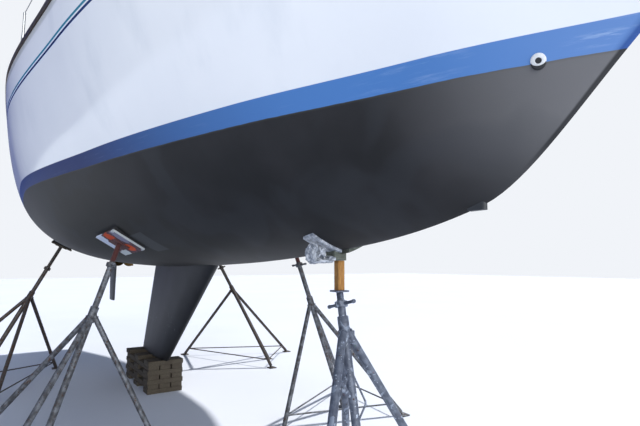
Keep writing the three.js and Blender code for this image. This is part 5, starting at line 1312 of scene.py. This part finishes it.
def flange(foot, radius=0.034, height=0.012):
    """Round foot of a post with a raised collar."""
    profile = [(radius, -0.001), (radius, 0.004), (radius * 0.9, 0.006), (0.019, 0.008), (0.0165, height),
               (0.0165, height + 0.012), (0.0128, height + 0.014)]
    return turned(profile, foot, sides=20)


def rails():
    """Bow and stern rails, stanchions on sockets, and two guard wires a side with a turnbuckle at
    the forward end of each."""
    fore = [rail_foot(5.35, 0.08), rail_foot(4.55, 0.09)]
    nose = np.array([BOW_X - 0.06, 0.12, fore[0][2] + RAIL_HEIGHT + 0.02])
    mid_top = fore[0] + [0, 0.04, RAIL_HEIGHT + 0.01]
    half = [fore[1] + UP * 0.002, fore[1] + UP * RAIL_HEIGHT, mid_top, nose]
    parts = [bent([*half, *[q * FAR for q in half[::-1]]], bend=0.1)]
    for sign in (1, -1):
        flip = np.array([1, sign, 1])
        parts.append(rod((fore[0] + UP * 0.002) * flip, mid_top * flip, TUBE, sides=14))
        for foot in fore:
            parts.append(flange(foot * flip))
        lower = [(fore[1] + UP * 0.3) * flip, (fore[0] + [0.0, 0.02, 0.31]) * flip]
        parts.append(rod(*lower, TUBE * 0.8, sides=12))
    piece("pulpit_tubes", parts, STAINLESS, node="pulpit")
    stern_x = BOW_X - HULL_LENGTH + 0.47
    aft = [rail_foot(-4.7, 0.08), rail_foot(stern_x + 0.09, 0.11)]
    corner = np.array([stern_x, aft[1][1] - 0.18, aft[1][2] + RAIL_HEIGHT])
    quarter = aft[1] + [0.08, 0.01, RAIL_HEIGHT]
    line = [aft[0] + UP * 0.002, aft[0] + UP * RAIL_HEIGHT, quarter, corner,
            np.array([stern_x - 0.02, 0, corner[2]])]
    parts = [bent([*line, *[q * FAR for q in line[-2::-1]]], bend=0.12)]
    for sign in (1, -1):
        flip = np.array([1, sign, 1])
        feet = [aft[0], aft[1] + [0.08, 0, 0],
                np.array([stern_x, corner[1], float(deck_z(stern_x, corner[1])) + 0.001])]
        for foot, top in zip(feet[1:], (quarter, corner)):
            parts.append(rod((foot + UP * 0.002) * flip, top * flip, TUBE, sides=14))
        for foot in feet:
            parts.append(flange(foot * flip))
        low = aft[0] + UP * 0.3, aft[1] + [0.08, 0.005, 0.3], feet[2] + UP * 0.3
        parts.append(bent([p * flip for p in low], TUBE * 0.8, sides=12))
    piece("pushpit_tubes", parts, STAINLESS, node="pushpit")
    for side, sign in BOTH:
        flip = np.array([1, sign, 1])
        feet = [rail_foot(x, 0.085) for x in (3.05, 1.55, -0.05, -1.65, -3.2)]
        parts = []
        for foot in feet:
            parts += [turned(SOCKET, foot * flip, sides=20), turned(STANCHION, foot * flip, sides=14)]
        line = [fore[1] - [0.03, 0, 0], *feet, aft[0] + [0.03, 0, 0]]
        wires = []
        for height in (0.3, RAIL_HEIGHT - 0.012):
            for a, b in zip(line[:-1], line[1:]):
                wires.append(rod((a + UP * height) * flip, (b + UP * height) * flip, 0.004, sides=8))
            a, b = (line[0] + UP * height) * flip, (line[1] + UP * height) * flip
            way = unit(b - a)
            parts.append(tube(a + way * np.linspace(0.02, 0.16, 9)[:, None], GUARD_SCREW, 12))
            parts.append(tube(a + way * np.linspace(-0.024, 0.02, 4)[:, None], GUARD_EYE, 10))
        piece(f"stanchions_{side}", parts, STAINLESS, node=f"guard_rail_{side}")
        piece(f"guard_wires_{side}", wires, WIRE)


rails()

# Rig

MAST = {"x": 1.15, "half_x": 0.092, "half_y": 0.062, "foot": 4.4055, "top": 18.3055, "height": 13.9}
# Share of the mast's height, half breadth and sweep of each pair of spreaders
SPREADERS = ((0.34, 1.05, 0.16), (0.67, 0.8, 0.12))
HINGE_X, BOOM_Z, BOOM_LENGTH, VANG_Z = 1.024, 5.3255, 4.3, 4.5555


def spar_section(half_x, half_y, sides=36, groove=0.0):
    """Oval section whose after side has a narrow groove: the radius falls by the groove's depth
    within a few degrees of straight aft."""
    turn = round_turn(sides)
    shape = np.stack([half_x * np.cos(turn), half_y * np.sin(turn)], -1)
    near = np.exp(-((turn - np.pi) / 0.09) ** 2)[:, None]
    return shape * (1 - groove * near)


def mast():
    """Tapered oval tube, spreaders, masthead crane with sheaves, boot at the foot, winches and
    cleats, and the halyards along it."""
    z = np.concatenate([np.linspace(MAST["foot"], MAST["top"] - 1.6, 30),
                        np.linspace(MAST["top"] - 1.5, MAST["top"], 12)])
    scale = np.interp(z, [MAST["top"] - 1.6, MAST["top"]], [1, 0.72])
    section = spar_section(MAST["half_x"], MAST["half_y"], 48, 0.09)
    points = np.concatenate([section[None] * scale[:, None, None] + [MAST["x"], 0],
                             np.broadcast_to(z[:, None, None], (len(z), 48, 1))], -1)
    parts = [capped(points)]
    for share, half, sweep in SPREADERS:
        height = MAST["foot"] + MAST["height"] * share
        for sign in (1, -1):
            tip = np.array([MAST["x"] - sweep, sign * half, height + 0.04])
            t = np.linspace(0.03, 1, 14)[:, None]
            path = np.array([MAST["x"], 0, height]) + t * (tip - [MAST["x"], 0, height])
            parts.append(tube(path, 0.026 - 0.01 * t[:, 0], 16, shape=(1.0, 0.62)))
            inner, outer = tip - [0, sign * 0.02, 0], tip + [0, sign * 0.026, 0]
            parts.append(rod(inner, outer, 0.017, 0.013, sides=14))
            root = np.array([MAST["x"], sign * 0.056, height])
            parts.append(block(root - [0.055, 0.012, 0.04], root + [0.055, 0.03, 0.045], 0.008))
    top = MAST["top"]
    head = np.array([MAST["x"], 0, top])
    parts.append(block(head - [0.19, 0.022, 0.04], head + [0.15, 0.022, 0.012], 0.006))
    piece("mast_tube", parts, SPAR, smooth=40, node="mast")
    foot = MAST["foot"]
    boot = [(0.118, -0.018), (0.116, -0.004), (0.106, 0.006), (0.1, 0.05), (0.0965, 0.075)]
    oval = circle(40) * [1, 0.7, 0]
    extras = [capped(np.stack([oval * r + [MAST["x"], 0, foot + h] for r, h in boot]))]
    for x in (MAST["x"] + 0.135, MAST["x"] - 0.175):
        extras.append(turned([(0.006, -0.016), (0.02, -0.014), (0.014, 0), (0.02, 0.014), (0.006, 0.016)],
                             (x, 0, top - 0.014), (0, 1, 0), 20))
    piece("mast_boot_and_sheaves", extras, BLACK)
    gear = []
    for sign, height in ((1, 1.05), (-1, 1.25)):
        seat = np.array([MAST["x"] + 0.02, sign * 0.062, foot + height])
        gear.append(turned([(0.042, 0), (0.042, 0.012), (0.029, 0.022), (0.026, 0.06), (0.036, 0.072),
                            (0.036, 0.088), (0.01, 0.092)], seat, (0, sign, 0), 24))
        cleat = np.array([MAST["x"] + 0.01, sign * 0.0625, foot + height - 0.35])
        low, high = cleat + [0, sign * 0.028, -0.07], cleat + [0, sign * 0.028, 0.07]
        gear.append(rod(low, high, 0.009, 0.006, sides=10))
        to_starboard, to_port = (0.006, 0.03)[::sign]
        gear.append(block(cleat - [0.011, to_starboard, 0.03], cleat + [0.011, to_port, 0.03], 0.004))
    gear.append(turned([(0.03, -0.02), (0.034, 0.0), (0.03, 0.03), (0.012, 0.045)],
                       (MAST["x"] + 0.098, 0, foot + 6.6), (0, 0, 1), 20))
    piece("mast_winches_and_cleats", gear, STAINLESS)
    ropes = []
    share = np.linspace(0, 1, 5)[:, None]
    for x, y, z0 in ((0.075, 0.052, 1.15), (0.075, -0.052, 1.35),
                     (-0.04, 0.072, 0.75), (-0.04, -0.072, 0.95)):
        a = np.array([MAST["x"] + x, y, foot + z0])
        b = np.array([MAST["x"] + x * 0.72, y * 0.66, top - 0.07])
        ropes.append(tube(a + share * (b - a), 0.005, 8))
    piece("halyards_along_mast", ropes, ROPE)


mast()


def boom():
    """Oval tube with end castings, gooseneck strap, the vang's tube in a sleeve, and lugs below."""
    section = spar_section(0.055, 0.08, 36)
    xs = np.linspace(HINGE_X - 0.045, HINGE_X - BOOM_LENGTH + 0.002, 20)
    ring = np.stack([0 * section[:, 0], section[:, 0], section[:, 1]], -1)
    points = ring[None] + np.stack([xs, 0 * xs, BOOM_Z + 0 * xs], -1)[:, None]
    parts = [capped(points)]
    for x, out in ((HINGE_X - 0.042, 1), (HINGE_X - BOOM_LENGTH, -1)):
        steps = (1.025, -0.05), (1.04, -0.047), (1.04, 0.0), (0.9, 0.002)
        cap = [ring * k + [x + out * d, 0, BOOM_Z] for k, d in steps]
        parts.append(capped(np.stack(cap[::out])))
    strap = np.array([HINGE_X, 0, BOOM_Z])
    parts.append(block(strap - [0.06, 0.014, 0.03], strap + [0.012, 0.014, 0.03], 0.004))
    top = np.array([HINGE_X - 1.05, 0, BOOM_Z - 0.07])
    foot = np.array([HINGE_X - 0.02, 0, VANG_Z])
    parts.append(rod(foot, top, 0.0145, sides=18))
    way = unit(top - foot)
    parts.append(tube(foot + way * np.array([0.02, 0.024, 0.7, 0.704])[:, None],
                      np.array([0.016, 0.02, 0.02, 0.016]), 20))
    parts.append(rod((HINGE_X, 0, VANG_Z - 0.02), (HINGE_X, 0, VANG_Z + 0.035), 0.016, sides=16))
    parts.append(rod((HINGE_X, 0, VANG_Z + 0.01), foot, 0.016, sides=12))
    parts.append(block(top - [0.04, 0.012, 0.02], top + [0.04, 0.012, 0.012], 0.004))
    for share in (0.35, 0.62, 0.9):
        x = HINGE_X - BOOM_LENGTH * share
        parts.append(block((x - 0.02, -0.008, BOOM_Z - 0.099), (x + 0.02, 0.008, BOOM_Z - 0.074), 0.004))
    piece("boom_tube", parts, SPAR, body="boom", smooth=40, node="boom")


boom()


def stays():
    """Taut wires with swaged ends and turnbuckles on their plates."""

    def wire(a, b, screw=True):
        a, b = np.asarray(a, float), np.asarray(b, float)
        way = unit(b - a)
        parts = [rod(a, b, 0.0042, sides=8)]
        if screw:
            parts.append(tube(a + way * STAY_SCREW[:, 1:], STAY_SCREW[:, 0], 12))
        parts.append(rod(b - way * 0.1, b, 0.0075, sides=10))
        return parts

    mast_top, foot_z = MAST["top"], MAST["foot"]
    stem, head = np.array([5.79, 0, float(deck_z(5.58)) + 0.07]), np.array([1.29, 0, mast_top - 0.06])
    piece("forestay_wire", wire(stem, head, False), WIRE, node="forestay")
    back = np.array([-5.64, 0, float(deck_z(-5.64)) + 0.002])
    parts = wire(back + UP * 0.04, (0.965, 0, mast_top - 0.02))
    parts.append(block(back - [0.03, 0.011, 0.0005], back + [0.03, 0.011, 0.06], 0.005))
    piece("backstay_wire", parts, WIRE, node="backstay")
    for side, sign in BOTH:
        flip = np.array([1, sign, 1])
        x = MAST["x"] - SPREADERS[0][2]
        y = float(sheer_at(x)[1]) - 0.15
        foot = np.array([x, y, float(deck_z(x, y)) + 0.002])
        tips = [np.array([MAST["x"] - sweep, half + 0.024, foot_z + MAST["height"] * share + 0.04])
                for share, half, sweep in SPREADERS]
        top = np.array([1.13, 0.064, mast_top - 0.12])
        parts = wire((foot + UP * 0.045) * flip, tips[0] * flip)
        parts += wire(tips[0] * flip, tips[1] * flip, False) + wire(tips[1] * flip, top * flip, False)
        parts.append(block(foot * flip - [0.034, 0.009, 0.0005], foot * flip + [0.034, 0.009, 0.06], 0.005))
        piece(f"cap_shroud_wire_{side}", parts, WIRE, node=f"cap_shroud_{side}")
        for label, x, reach in (("forward", 1.51, 0.04), ("aft", 0.51, -0.04)):
            y = float(sheer_at(x)[1]) - 0.16
            foot = np.array([x, y, float(deck_z(x, y)) + 0.002])
            end = np.array([MAST["x"] + reach, 0.066, foot_z + MAST["height"] * SPREADERS[0][0] - 0.09])
            parts = wire((foot + UP * 0.035) * flip, end * flip)
            plate = foot * flip
            parts.append(block(plate - [0.024, 0.008, 0.0005], plate + [0.024, 0.008, 0.05], 0.005))
            piece(f"lower_wire_{label}_{side}", parts, WIRE, node=f"lower_shroud_{label}_{side}")
    return stem, head


STEM_HEAD, MASTHEAD = stays()


def cloth_map(item, along_m, across_m):
    """UV map in metres from a grid's two lengths, one pair for each point of the mesh."""
    mesh = item.data
    layer = mesh.uv_layers.new(name="cloth")
    index = np.empty(len(mesh.loops), np.int32)
    mesh.loops.foreach_get("vertex_index", index)
    pair = np.stack([np.ravel(along_m), np.ravel(across_m)], -1)
    pair = np.concatenate([pair, np.repeat(pair[-1:], max(len(mesh.vertices) - len(pair), 0), 0)])
    layer.data.foreach_set("uv", pair[index].astype(np.float32).ravel())


# Share of the boom, low and high over it, and half breadth in millimetres
COVER_TABLE = np.array([(0.015, 10, 430, 105), (0.1, -40, 395, 150), (0.3, -55, 330, 155),
                        (0.6, -55, 270, 140), (0.9, -50, 205, 115), (0.975, -20, 170, 85)])
COVER_TABLE[:, 1:] /= 1000


def sail_cover():
    """Canvas cover laced under the boom over the stowed sail. Each ring is an oval between the
    low and high of the table, fuller low down; between ties it bags out by a few millimetres,
    and small diagonal folds run back from each tie."""
    share = np.linspace(0.015, 0.975, 260)
    low, high, half = (monotone(COVER_TABLE[:, 0], COVER_TABLE[:, i])(share)[:, None] for i in (1, 2, 3))
    x = (HINGE_X - 0.06 - share * (BOOM_LENGTH - 0.06))[:, None]
    turn = round_turn(72)[None]
    ties = np.array([0.1, 0.22, 0.35, 0.49, 0.63, 0.77, 0.89])
    gap = np.abs(share[:, None] - ties[None]).min(1)[:, None]
    pinch = np.exp(-(gap / 0.012) ** 2)
    folds = np.sin(share[:, None] * 260 + np.sin(turn * 2 + 1) * 2.5) * np.exp(-(gap / 0.045) ** 2)
    ripple = np.sin(share[:, None] * 61 + turn * 3) + 0.6 * np.sin(share[:, None] * 113 - turn * 2 + 2)
    lower = 0.5 - 0.5 * np.sin(turn)
    swell = -0.014 * pinch * (0.35 + lower) + 0.0045 * folds + 0.004 * ripple
    y = (half + swell) * np.cos(turn) * (1 - 0.35 * np.maximum(np.sin(turn), 0))
    z = BOOM_Z + (low + high) / 2 + ((high - low) / 2 + swell) * np.sin(turn)
    points = np.stack([np.broadcast_to(x, y.shape), y, z], -1)
    item = piece("mainsail_cover_canvas", [capped(points)], CANVAS, body="boom", smooth=80,
                 node="mainsail_cover")
    around = np.cumsum(np.linalg.norm(np.roll(points, -1, 1) - points, axis=2), axis=1)
    cloth_map(item, np.broadcast_to(x, y.shape), around)
    bands = []
    for t in ties:
        i = int(np.argmin(np.abs(share - t)))
        ring = points[i]
        centre = ring.mean(0)
        ring = centre + (ring - centre) * 1.008 + unit(ring - centre) * 0.002
        bands.append(grid(np.stack([ring + [0.0125, 0, 0], ring - [0.0125, 0, 0]]), close_cols=True))
    band = piece("mainsail_cover_ties", bands, CANVAS, body="boom", smooth=80)
    spread = np.arange(len(band.data.vertices)) * 0.001
    cloth_map(band, spread, spread)
    finish_of(band, "SOLIDIFY", thickness=0.0022, offset=1)


sail_cover()


def furled_sail():
    """Rolled headsail: a thin roll about the stay whose radius comes from the table, with the edge
    of the cloth winding up it as a spiral step, and the lower drum of its furling gear."""
    roll = np.array([(0.055, 26), (0.06, 62), (0.3, 74), (0.6, 60), (0.9, 34), (0.94, 22)]) / [1, 1000]
    drum = [(0.034, 40), (0.036, 78), (0.039, 78), (0.041, 30), (0.046, 30), (0.048, 78), (0.051, 78),
            (0.053, 34), (0.056, 30)]
    drum = np.array(drum) / [1, 1000]
    share = np.concatenate([np.linspace(0.055, 0.06, 8)[:-1], np.linspace(0.06, 0.94, 420)])
    radius = monotone(roll[:, 0], roll[:, 1])(share)[:, None] * 0.965
    turn = round_turn(48)[None]
    length = np.linalg.norm(MASTHEAD - STEM_HEAD)
    phase = (turn / (2 * np.pi) + share[:, None] * length / 1.15) % 1
    step = 0.07 * np.clip(1 - phase / 0.1, 0, 1)
    wrinkle = 0.012 * np.sin(share[:, None] * 900 + turn * 5) * np.sin(share[:, None] * 47)
    r = radius * (1 + step + wrinkle)
    centre = STEM_HEAD + share[:, None] * (MASTHEAD - STEM_HEAD)
    points = centre[:, None] + np.stack([r * np.cos(turn), r * np.sin(turn), 0 * r], -1)
    item = piece("furled_genoa_cloth", [capped(points)], SAILCLOTH, smooth=50, node="furled_genoa")
    cloth_map(item, np.broadcast_to(share[:, None] * length * 0.5, r.shape),
              np.broadcast_to(turn * 0.06, r.shape))
    centre = STEM_HEAD + drum[:, :1] * (MASTHEAD - STEM_HEAD)
    reel = centre[:, None] + drum[:, 1][:, None, None] * circle(48)
    piece("furling_drum", [capped(reel)], BLACK)
    lines = []
    for i in range(5):
        c = STEM_HEAD + (0.0415 + 0.0009 * i) * (MASTHEAD - STEM_HEAD)
        path = c + 0.034 * circle(32)
        p = rings(np.concatenate([path, path[:1]]), 0.0045, 8)[:-1]
        lines.append(grid(p, close_rows=True, close_cols=True))
    piece("furling_line_turns", lines, ROPE)


furled_sail()


def sprayhood():
    """One continuous canvas sheet over two bows: half breadth and rise follow blunt powers of the
    cosine and sine across it, with a slight hollow between the bows. Clear panels lie on its
    front, and hemmed edges, a stitched grab tube and the stainless bows carry it."""
    front, back, wide, rise0 = -0.52, -1.84, 0.98, 0.56
    foot = float(roof_z(front)) - 0.09

    def surface(share, turn, inset=0.0):
        rise = rise0 * np.sin(np.minimum(0.12 + share * 1.15, 1) * np.pi * 0.5) - inset
        half = wide * (0.82 + 0.16 * share) - inset
        hollow = 0.012 * np.sin(np.clip((share - 0.42) / 0.5, 0, 1) * np.pi)
        hollow = hollow + 0.006 * np.sin(share * 40) * np.sin(turn * 5) ** 2
        y = half * blunt(np.cos(turn), 0.55)
        z = foot + 0.06 + (rise + 0.03 - hollow) * np.abs(np.sin(turn)) ** 0.7
        x = front + (back - front) * share
        return np.stack([x + 0 * y, y, z], -1)

    share = np.linspace(0, 1, 60)[:, None]
    start = 0.012
    turn = (start + (np.pi - 2 * start) * np.linspace(0, 1, 90))[None]
    skin = surface(share + 0 * turn, turn + 0 * share, 0.004)
    item = piece("sprayhood_canvas", [grid(skin[:, ::-1])], CANVAS, smooth=80, node="sprayhood")
    right, down = np.diff(skin, axis=1), np.diff(skin, axis=0)
    across = np.concatenate([np.zeros((60, 1)), np.cumsum(np.linalg.norm(right, axis=2), axis=1)], 1)
    lengthways = np.concatenate([np.zeros((1, 90)), np.cumsum(np.linalg.norm(down, axis=2), axis=0)], 0)
    cloth_map(item, lengthways[:, ::-1], across[:, ::-1])
    finish_of(item, "SOLIDIFY", thickness=0.0016, offset=-1)
    windows = []
    for a, b in ((0.2, 0.36), (0.385, 0.615), (0.64, 0.8)):
        t = (np.pi * np.linspace(a, b, 18))[None]
        s = np.linspace(0.05, 0.42, 14)[:, None]
        windows.append(grid(surface(s + 0 * t, t + 0 * s, -0.0015)[:, ::-1]))
    panes = piece("sprayhood_clear_panels", windows, CLEAR, smooth=80)
    finish_of(panes, "SOLIDIFY", thickness=0.001, offset=0)
    arc = np.linspace(0.03, np.pi - 0.03, 60)
    hoops = []
    for s in (0.47, 0.985):
        path = surface(np.full(60, s), arc, 0.02)
        hoops.append(tube(path, 0.0095, 12, up=(1, 0.01, 0)))
    grab = surface(np.full(60, 0.985), np.linspace(0.5, np.pi - 0.5, 60), -0.012)
    hoops.append(tube(grab, 0.009, 10, up=(1, 0.01, 0)))
    piece("sprayhood_bows", hoops, STAINLESS)
    hem = []
    for s in (0.0, 1.0):
        path = surface(np.full(80, s), np.linspace(start, np.pi - start, 80), 0.004)
        hem.append(tube(path, 0.006, 8, up=(1, 0.01, 0)))
    edging = piece("sprayhood_hems", hem, CANVAS, smooth=80)
    spread = np.arange(len(edging.data.vertices)) * 0.002
    cloth_map(edging, spread, spread)


sprayhood()

# Deck gear

# Self-tailing winch: base, waisted drum with grip bands, and a crowned top with a socket
WINCH = [(0.071, 0), (0.072, 0.006), (0.07, 0.014), (0.056, 0.02), (0.051, 0.03), (0.0475, 0.045),
         (0.0465, 0.07), (0.048, 0.1), (0.053, 0.112), (0.063, 0.118), (0.0655, 0.124), (0.0655, 0.129),
         (0.058, 0.132), (0.058, 0.136), (0.0655, 0.139), (0.066, 0.145), (0.058, 0.15), (0.03, 0.1515),
         (0.016, 0.1515), (0.014, 0.145)]

for side, sign in BOTH:
    drum = turned(WINCH, (-3.0, sign * 0.9925, 3.9436), sides=40)
    piece(f"sheet_winch_{side}", [drum], STAINLESS, smooth=30, node=f"winch_{side}")


def horn_cleat(x, y, z, heading=0.0, length=0.22):
    """Two-horned cleat: a bar that thins and lifts to both ends, on two short legs."""
    t = np.linspace(-1, 1, 21)
    way = np.array([math.cos(heading), math.sin(heading), 0])
    path = np.array([x, y, z + 0.04]) + way * (t * length / 2)[:, None] + UP * (0.012 * t * t)[:, None]
    parts = [tube(path, 0.0115 * (1 - 0.45 * t * t), 10, up=(0.01, 0.02, 1))]
    for side in (-1, 1):
        c = np.array([x, y, z]) + way * side * length * 0.16
        parts.append(rod(c - [0, 0, 0.001], c + [0, 0, 0.042], 0.012, 0.009, sides=12))
    return parts


def deck_gear():
    """Mooring cleats, grab rails on the roof, sheet tracks with cars and blocks, latches of the
    locker lids, and frames with knobs on the hatches."""
    steel, alloy, wood, dark = [], [], [], []
    for sign in (1, -1):
        for x, inset in ((4.72, 0.2), (-0.3, 0.17), (-5.05, 0.2)):
            y = float(sheer_at(x)[1]) - inset
            slope = float(sheer_at(x - 0.1)[1] - sheer_at(x + 0.1)[1]) / 0.2
            steel += horn_cleat(x, sign * y, float(deck_z(x, y)), -sign * math.atan(slope))
        # Grab rail: a batten that touches the roof at four feet
        xs = np.linspace(0.78, -0.48, 64)
        y = np.full(64, sign * 0.6)
        z = roof_z(xs, y) + 0.052
        wood.append(tube(np.stack([xs, y, z], -1), 0.0145, 12, shape=(1, 1)))
        for x in np.linspace(0.74, -0.44, 4):
            wood.append(block((x - 0.035, sign * 0.6 - 0.013, float(roof_z(x, 0.6)) - 0.004),
                              (x + 0.035, sign * 0.6 + 0.013, float(roof_z(x, 0.6)) + 0.054), 0.007))
        xs = np.linspace(0.3, -1.6, 60)
        y = sheer_at(xs)[:, 1] - 0.33
        track = np.stack([xs, sign * y, deck_z(xs, y) + 0.0085], -1)
        alloy.append(tube(track, 0.011, 4, shape=(1.3, 0.8)))
        car = track[34]
        alloy.append(block(car - [0.045, 0.022, 0.004], car + [0.045, 0.022, 0.024], 0.006))
        steel.append(turned([(0.008, -0.012), (0.026, -0.011), (0.019, 0), (0.026, 0.011), (0.008, 0.012)],
                            car + [0, 0, 0.05], (0, 1, 0), 20))
        for x in (-2.5, -3.2):
            dark.append(block((x - 0.03, sign * 0.462 - 0.008, SEAT_Z - 0.02),
                              (x + 0.03, sign * 0.462 + 0.004, SEAT_Z + 0.001), 0.003))
    piece("deck_cleats_and_blocks", steel, STAINLESS)
    piece("sheet_tracks", alloy, SPAR)
    piece("grab_rails", wood, TEAK)
    piece("locker_latches", dark, BLACK)
    for node, body in (("fore_hatch_lid", "fore_hatch"), ("saloon_hatch_lid", "saloon_hatch")):
        low, high = (np.array(c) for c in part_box(node))
        knobs = []
        for sign in (1, -1):
            c = np.array([low[0] + 0.06, sign * (high[1] - 0.11), high[2] - 0.0005])
            knobs.append(turned([(0.022, 0), (0.022, 0.004), (0.012, 0.006), (0.01, 0.009), (0.001, 0.01)],
                                c, sides=20))
        edge, rim = 0.028, 0.004
        (x0, y0), (x1, y1) = low[:2] + rim, high[:2] - rim
        bars = [block((*a, high[2] - 0.003), (*b, high[2] + 0.003), 0.0025) for a, b in (
            ((x0, y0), (low[0] + edge, y1)), ((high[0] - edge, y0), (x1, y1)),
            ((low[0] + edge, y0), (high[0] - edge, low[1] + edge)),
            ((low[0] + edge, high[1] - edge), (high[0] - edge, y1)))]
        piece(f"{body}_frame", bars + knobs, SPAR, body=body)


deck_gear()


def pedestal_gear():
    """Compass in a hooded bowl on the pedestal, a guard hoop in front of it, and engine levers."""
    top, hoop_x, lever_x = WELL_Z + 1.01, -3.475, -3.6
    bowl = [turned([(0.07, -0.002), (0.072, 0.012), (0.062, 0.03), (0.04, 0.046), (0.012, 0.052)],
                   (lever_x, 0, top), sides=32)]
    piece("compass_bowl", bowl, BLACK)
    half = [(hoop_x, 0.15, WELL_Z + 0.02), (hoop_x, 0.15, WELL_Z + 0.99), (hoop_x, 0.11, WELL_Z + 1.05)]
    hoop = [*half, *[(x, -y, z) for x, y, z in half[::-1]]]
    parts = [bent(hoop, bend=0.09)]
    for sign in (1, -1):
        parts.append(turned([(0.03, 0), (0.03, 0.004), (0.015, 0.008), (0.0135, 0.018)],
                            (hoop_x, sign * 0.15, WELL_Z + 0.018), sides=20))
        parts.append(rod((lever_x, sign * 0.084, WELL_Z + 0.93), (lever_x, sign * 0.096, WELL_Z + 0.93),
                         0.016, sides=16))
        parts.append(rod((lever_x, sign * 0.093, WELL_Z + 0.93), (-3.64, sign * 0.097, WELL_Z + 1.0),
                         0.0055, sides=10))
        parts.append(turned([(0.004, -0.012), (0.012, -0.006), (0.012, 0.006), (0.004, 0.012)],
                            (-3.642, sign * 0.097, WELL_Z + 1.004), sides=14))
    piece("pedestal_guard_and_levers", parts, STAINLESS)


pedestal_gear()


def wheel():
    """Rim, five spokes that bow a little forward, and a turned hub."""
    centre, rim = np.array([-3.745, 0, 4.1482]), 0.405
    path = centre + rim * circle(96)[:, [2, 0, 1]]
    p = rings(np.concatenate([path, path[:1]]), 0.0128, 14, up=(1, 0, 0))[:-1]
    parts = [grid(p, close_rows=True, close_cols=True)]
    for i in range(5):
        turn = np.pi / 2 + i / 5 * 2 * np.pi
        way = np.array([0, math.cos(turn), math.sin(turn)])
        t = np.linspace(0, 1, 12)[:, None]
        line = centre + way * (0.03 + 0.372 * t) + np.array([1, 0, 0]) * (0.004 * np.sin(np.pi * t))
        parts.append(tube(line, 0.0075 - 0.0012 * t[:, 0], 12, up=(1, 0, 0)))
    parts.append(turned([(0.03, -0.022), (0.036, -0.018), (0.0375, 0.006), (0.034, 0.02), (0.02, 0.0275)],
                        centre, (1, 0, 0), 32))
    piece("wheel_rim_and_spokes", parts, STAINLESS, body="steering_wheel", node="steering_wheel")


wheel()


SHAFT_TILT = 10


def propeller():
    """Hub and three blades. A blade's width follows a sine of its radius, its pitch falls from root
    to tip, and its section is a thin lens; all turn about the tilted shaft."""
    tilt = math.radians(SHAFT_TILT)
    ahead = np.array([math.cos(tilt), 0, math.sin(tilt)])
    side = np.array([0, 1.0, 0])
    over = np.cross(ahead, side)
    centre = np.array([-4.08, 0, float(bottom_z(-4.08, 0.0)) - 0.285])
    parts = [turned([(0.004, -0.062), (0.018, -0.06), (0.028, -0.052), (0.034, -0.02), (0.0362, 0.01),
                     (0.034, 0.055), (0.028, 0.06)], centre, ahead, 32)]
    root, tip, span = 0.028, 0.2035, 0.1755
    r = np.linspace(root, tip, 22)[:, None]
    u = round_turn(28)[None]
    share = (r - root) / span
    width = 0.024 + 0.05 * np.sin(np.minimum(share * 1.02 + 0.12, 1) * np.pi) ** 0.7
    width = width * np.sqrt(np.clip(1 - (share * 0.995) ** 8, 0.001, 1))
    thick = 0.0052 - 0.0036 * share
    c, h = width * np.cos(u), thick * np.sin(u)
    pitch = np.radians(40 - 20 * share)
    for i in range(3):
        turn = i * 2 * np.pi / 3 + np.pi / 2
        out = math.cos(turn) * side + math.sin(turn) * over
        across = np.cross(ahead, out)
        blade = (centre + out * np.sqrt(np.maximum(r ** 2 - (c * 0.6) ** 2, 0))[..., None]
                 + across * (c * np.cos(pitch) - h * np.sin(pitch))[..., None]
                 + ahead * (c * np.sin(pitch) * 0.75 + h * np.cos(pitch))[..., None])
        parts.append(capped(blade))
    piece("propeller_casting", parts, BRONZE, body="propeller", smooth=50, weld=1e-6, node="propeller")


propeller()


def berth_cushions():
    """Saloon cushions: crowned closed forms, a rounded square whose sides pull in between the
    corners and whose top rises to the middle."""
    for side, sign in BOTH:
        for k, (x0, x1) in enumerate(((-0.82, -0.1), (-0.06, 0.66), (0.7, 1.42))):
            a = np.linspace(-1, 1, 36)
            uu, vv = np.meshgrid(a, a, indexing="ij")
            rim = np.maximum(np.abs(uu), np.abs(vv))
            swell = 0.72 + 0.28 * np.cos(uu * np.pi / 2) * np.cos(vv * np.pi / 2)
            crown = np.sqrt(np.clip(1 - rim ** 6, 0, 1)) * swell
            x = (x0 + x1) / 2 + uu * (x1 - x0) / 2 * (1 - 0.02 * (1 - vv ** 2) * np.abs(uu) ** 4)
            y = sign * (0.67 + vv * 0.185 * (1 - 0.03 * (1 - uu ** 2) * np.abs(vv) ** 4))
            base = BERTH_Z + 0.035
            top = np.stack([x, y, base + 0.055 * crown], -1)
            under = np.stack([x, y, base - 0.034 * np.sqrt(np.clip(1 - rim ** 8, 0, 1))], -1)
            p, f = grid(top)
            q, g = grid(under[:, ::-1])
            item = piece(f"berth_cushion_{side}_{k}", [(p, f), (q, g)], CUSHION, smooth=60, weld=1e-5)
            place = np.empty(len(item.data.vertices) * 3, np.float32)
            item.data.vertices.foreach_get("co", place)
            place = place.reshape(-1, 3)
            cloth_map(item, place[:, 0], place[:, 1] + place[:, 2])


berth_cushions()

# The hull's inside, the window panes and the shaft keep their CAD shape and take their looks here
FINISHES = {"hull": LINER, "window_port": GLASS, "window_starboard": GLASS, "propeller_shaft": BRONZE}
for node, finish in FINISHES.items():
    mesh = frame["nodes"][node].data
    mesh.materials.clear()
    mesh.materials.append(finish)
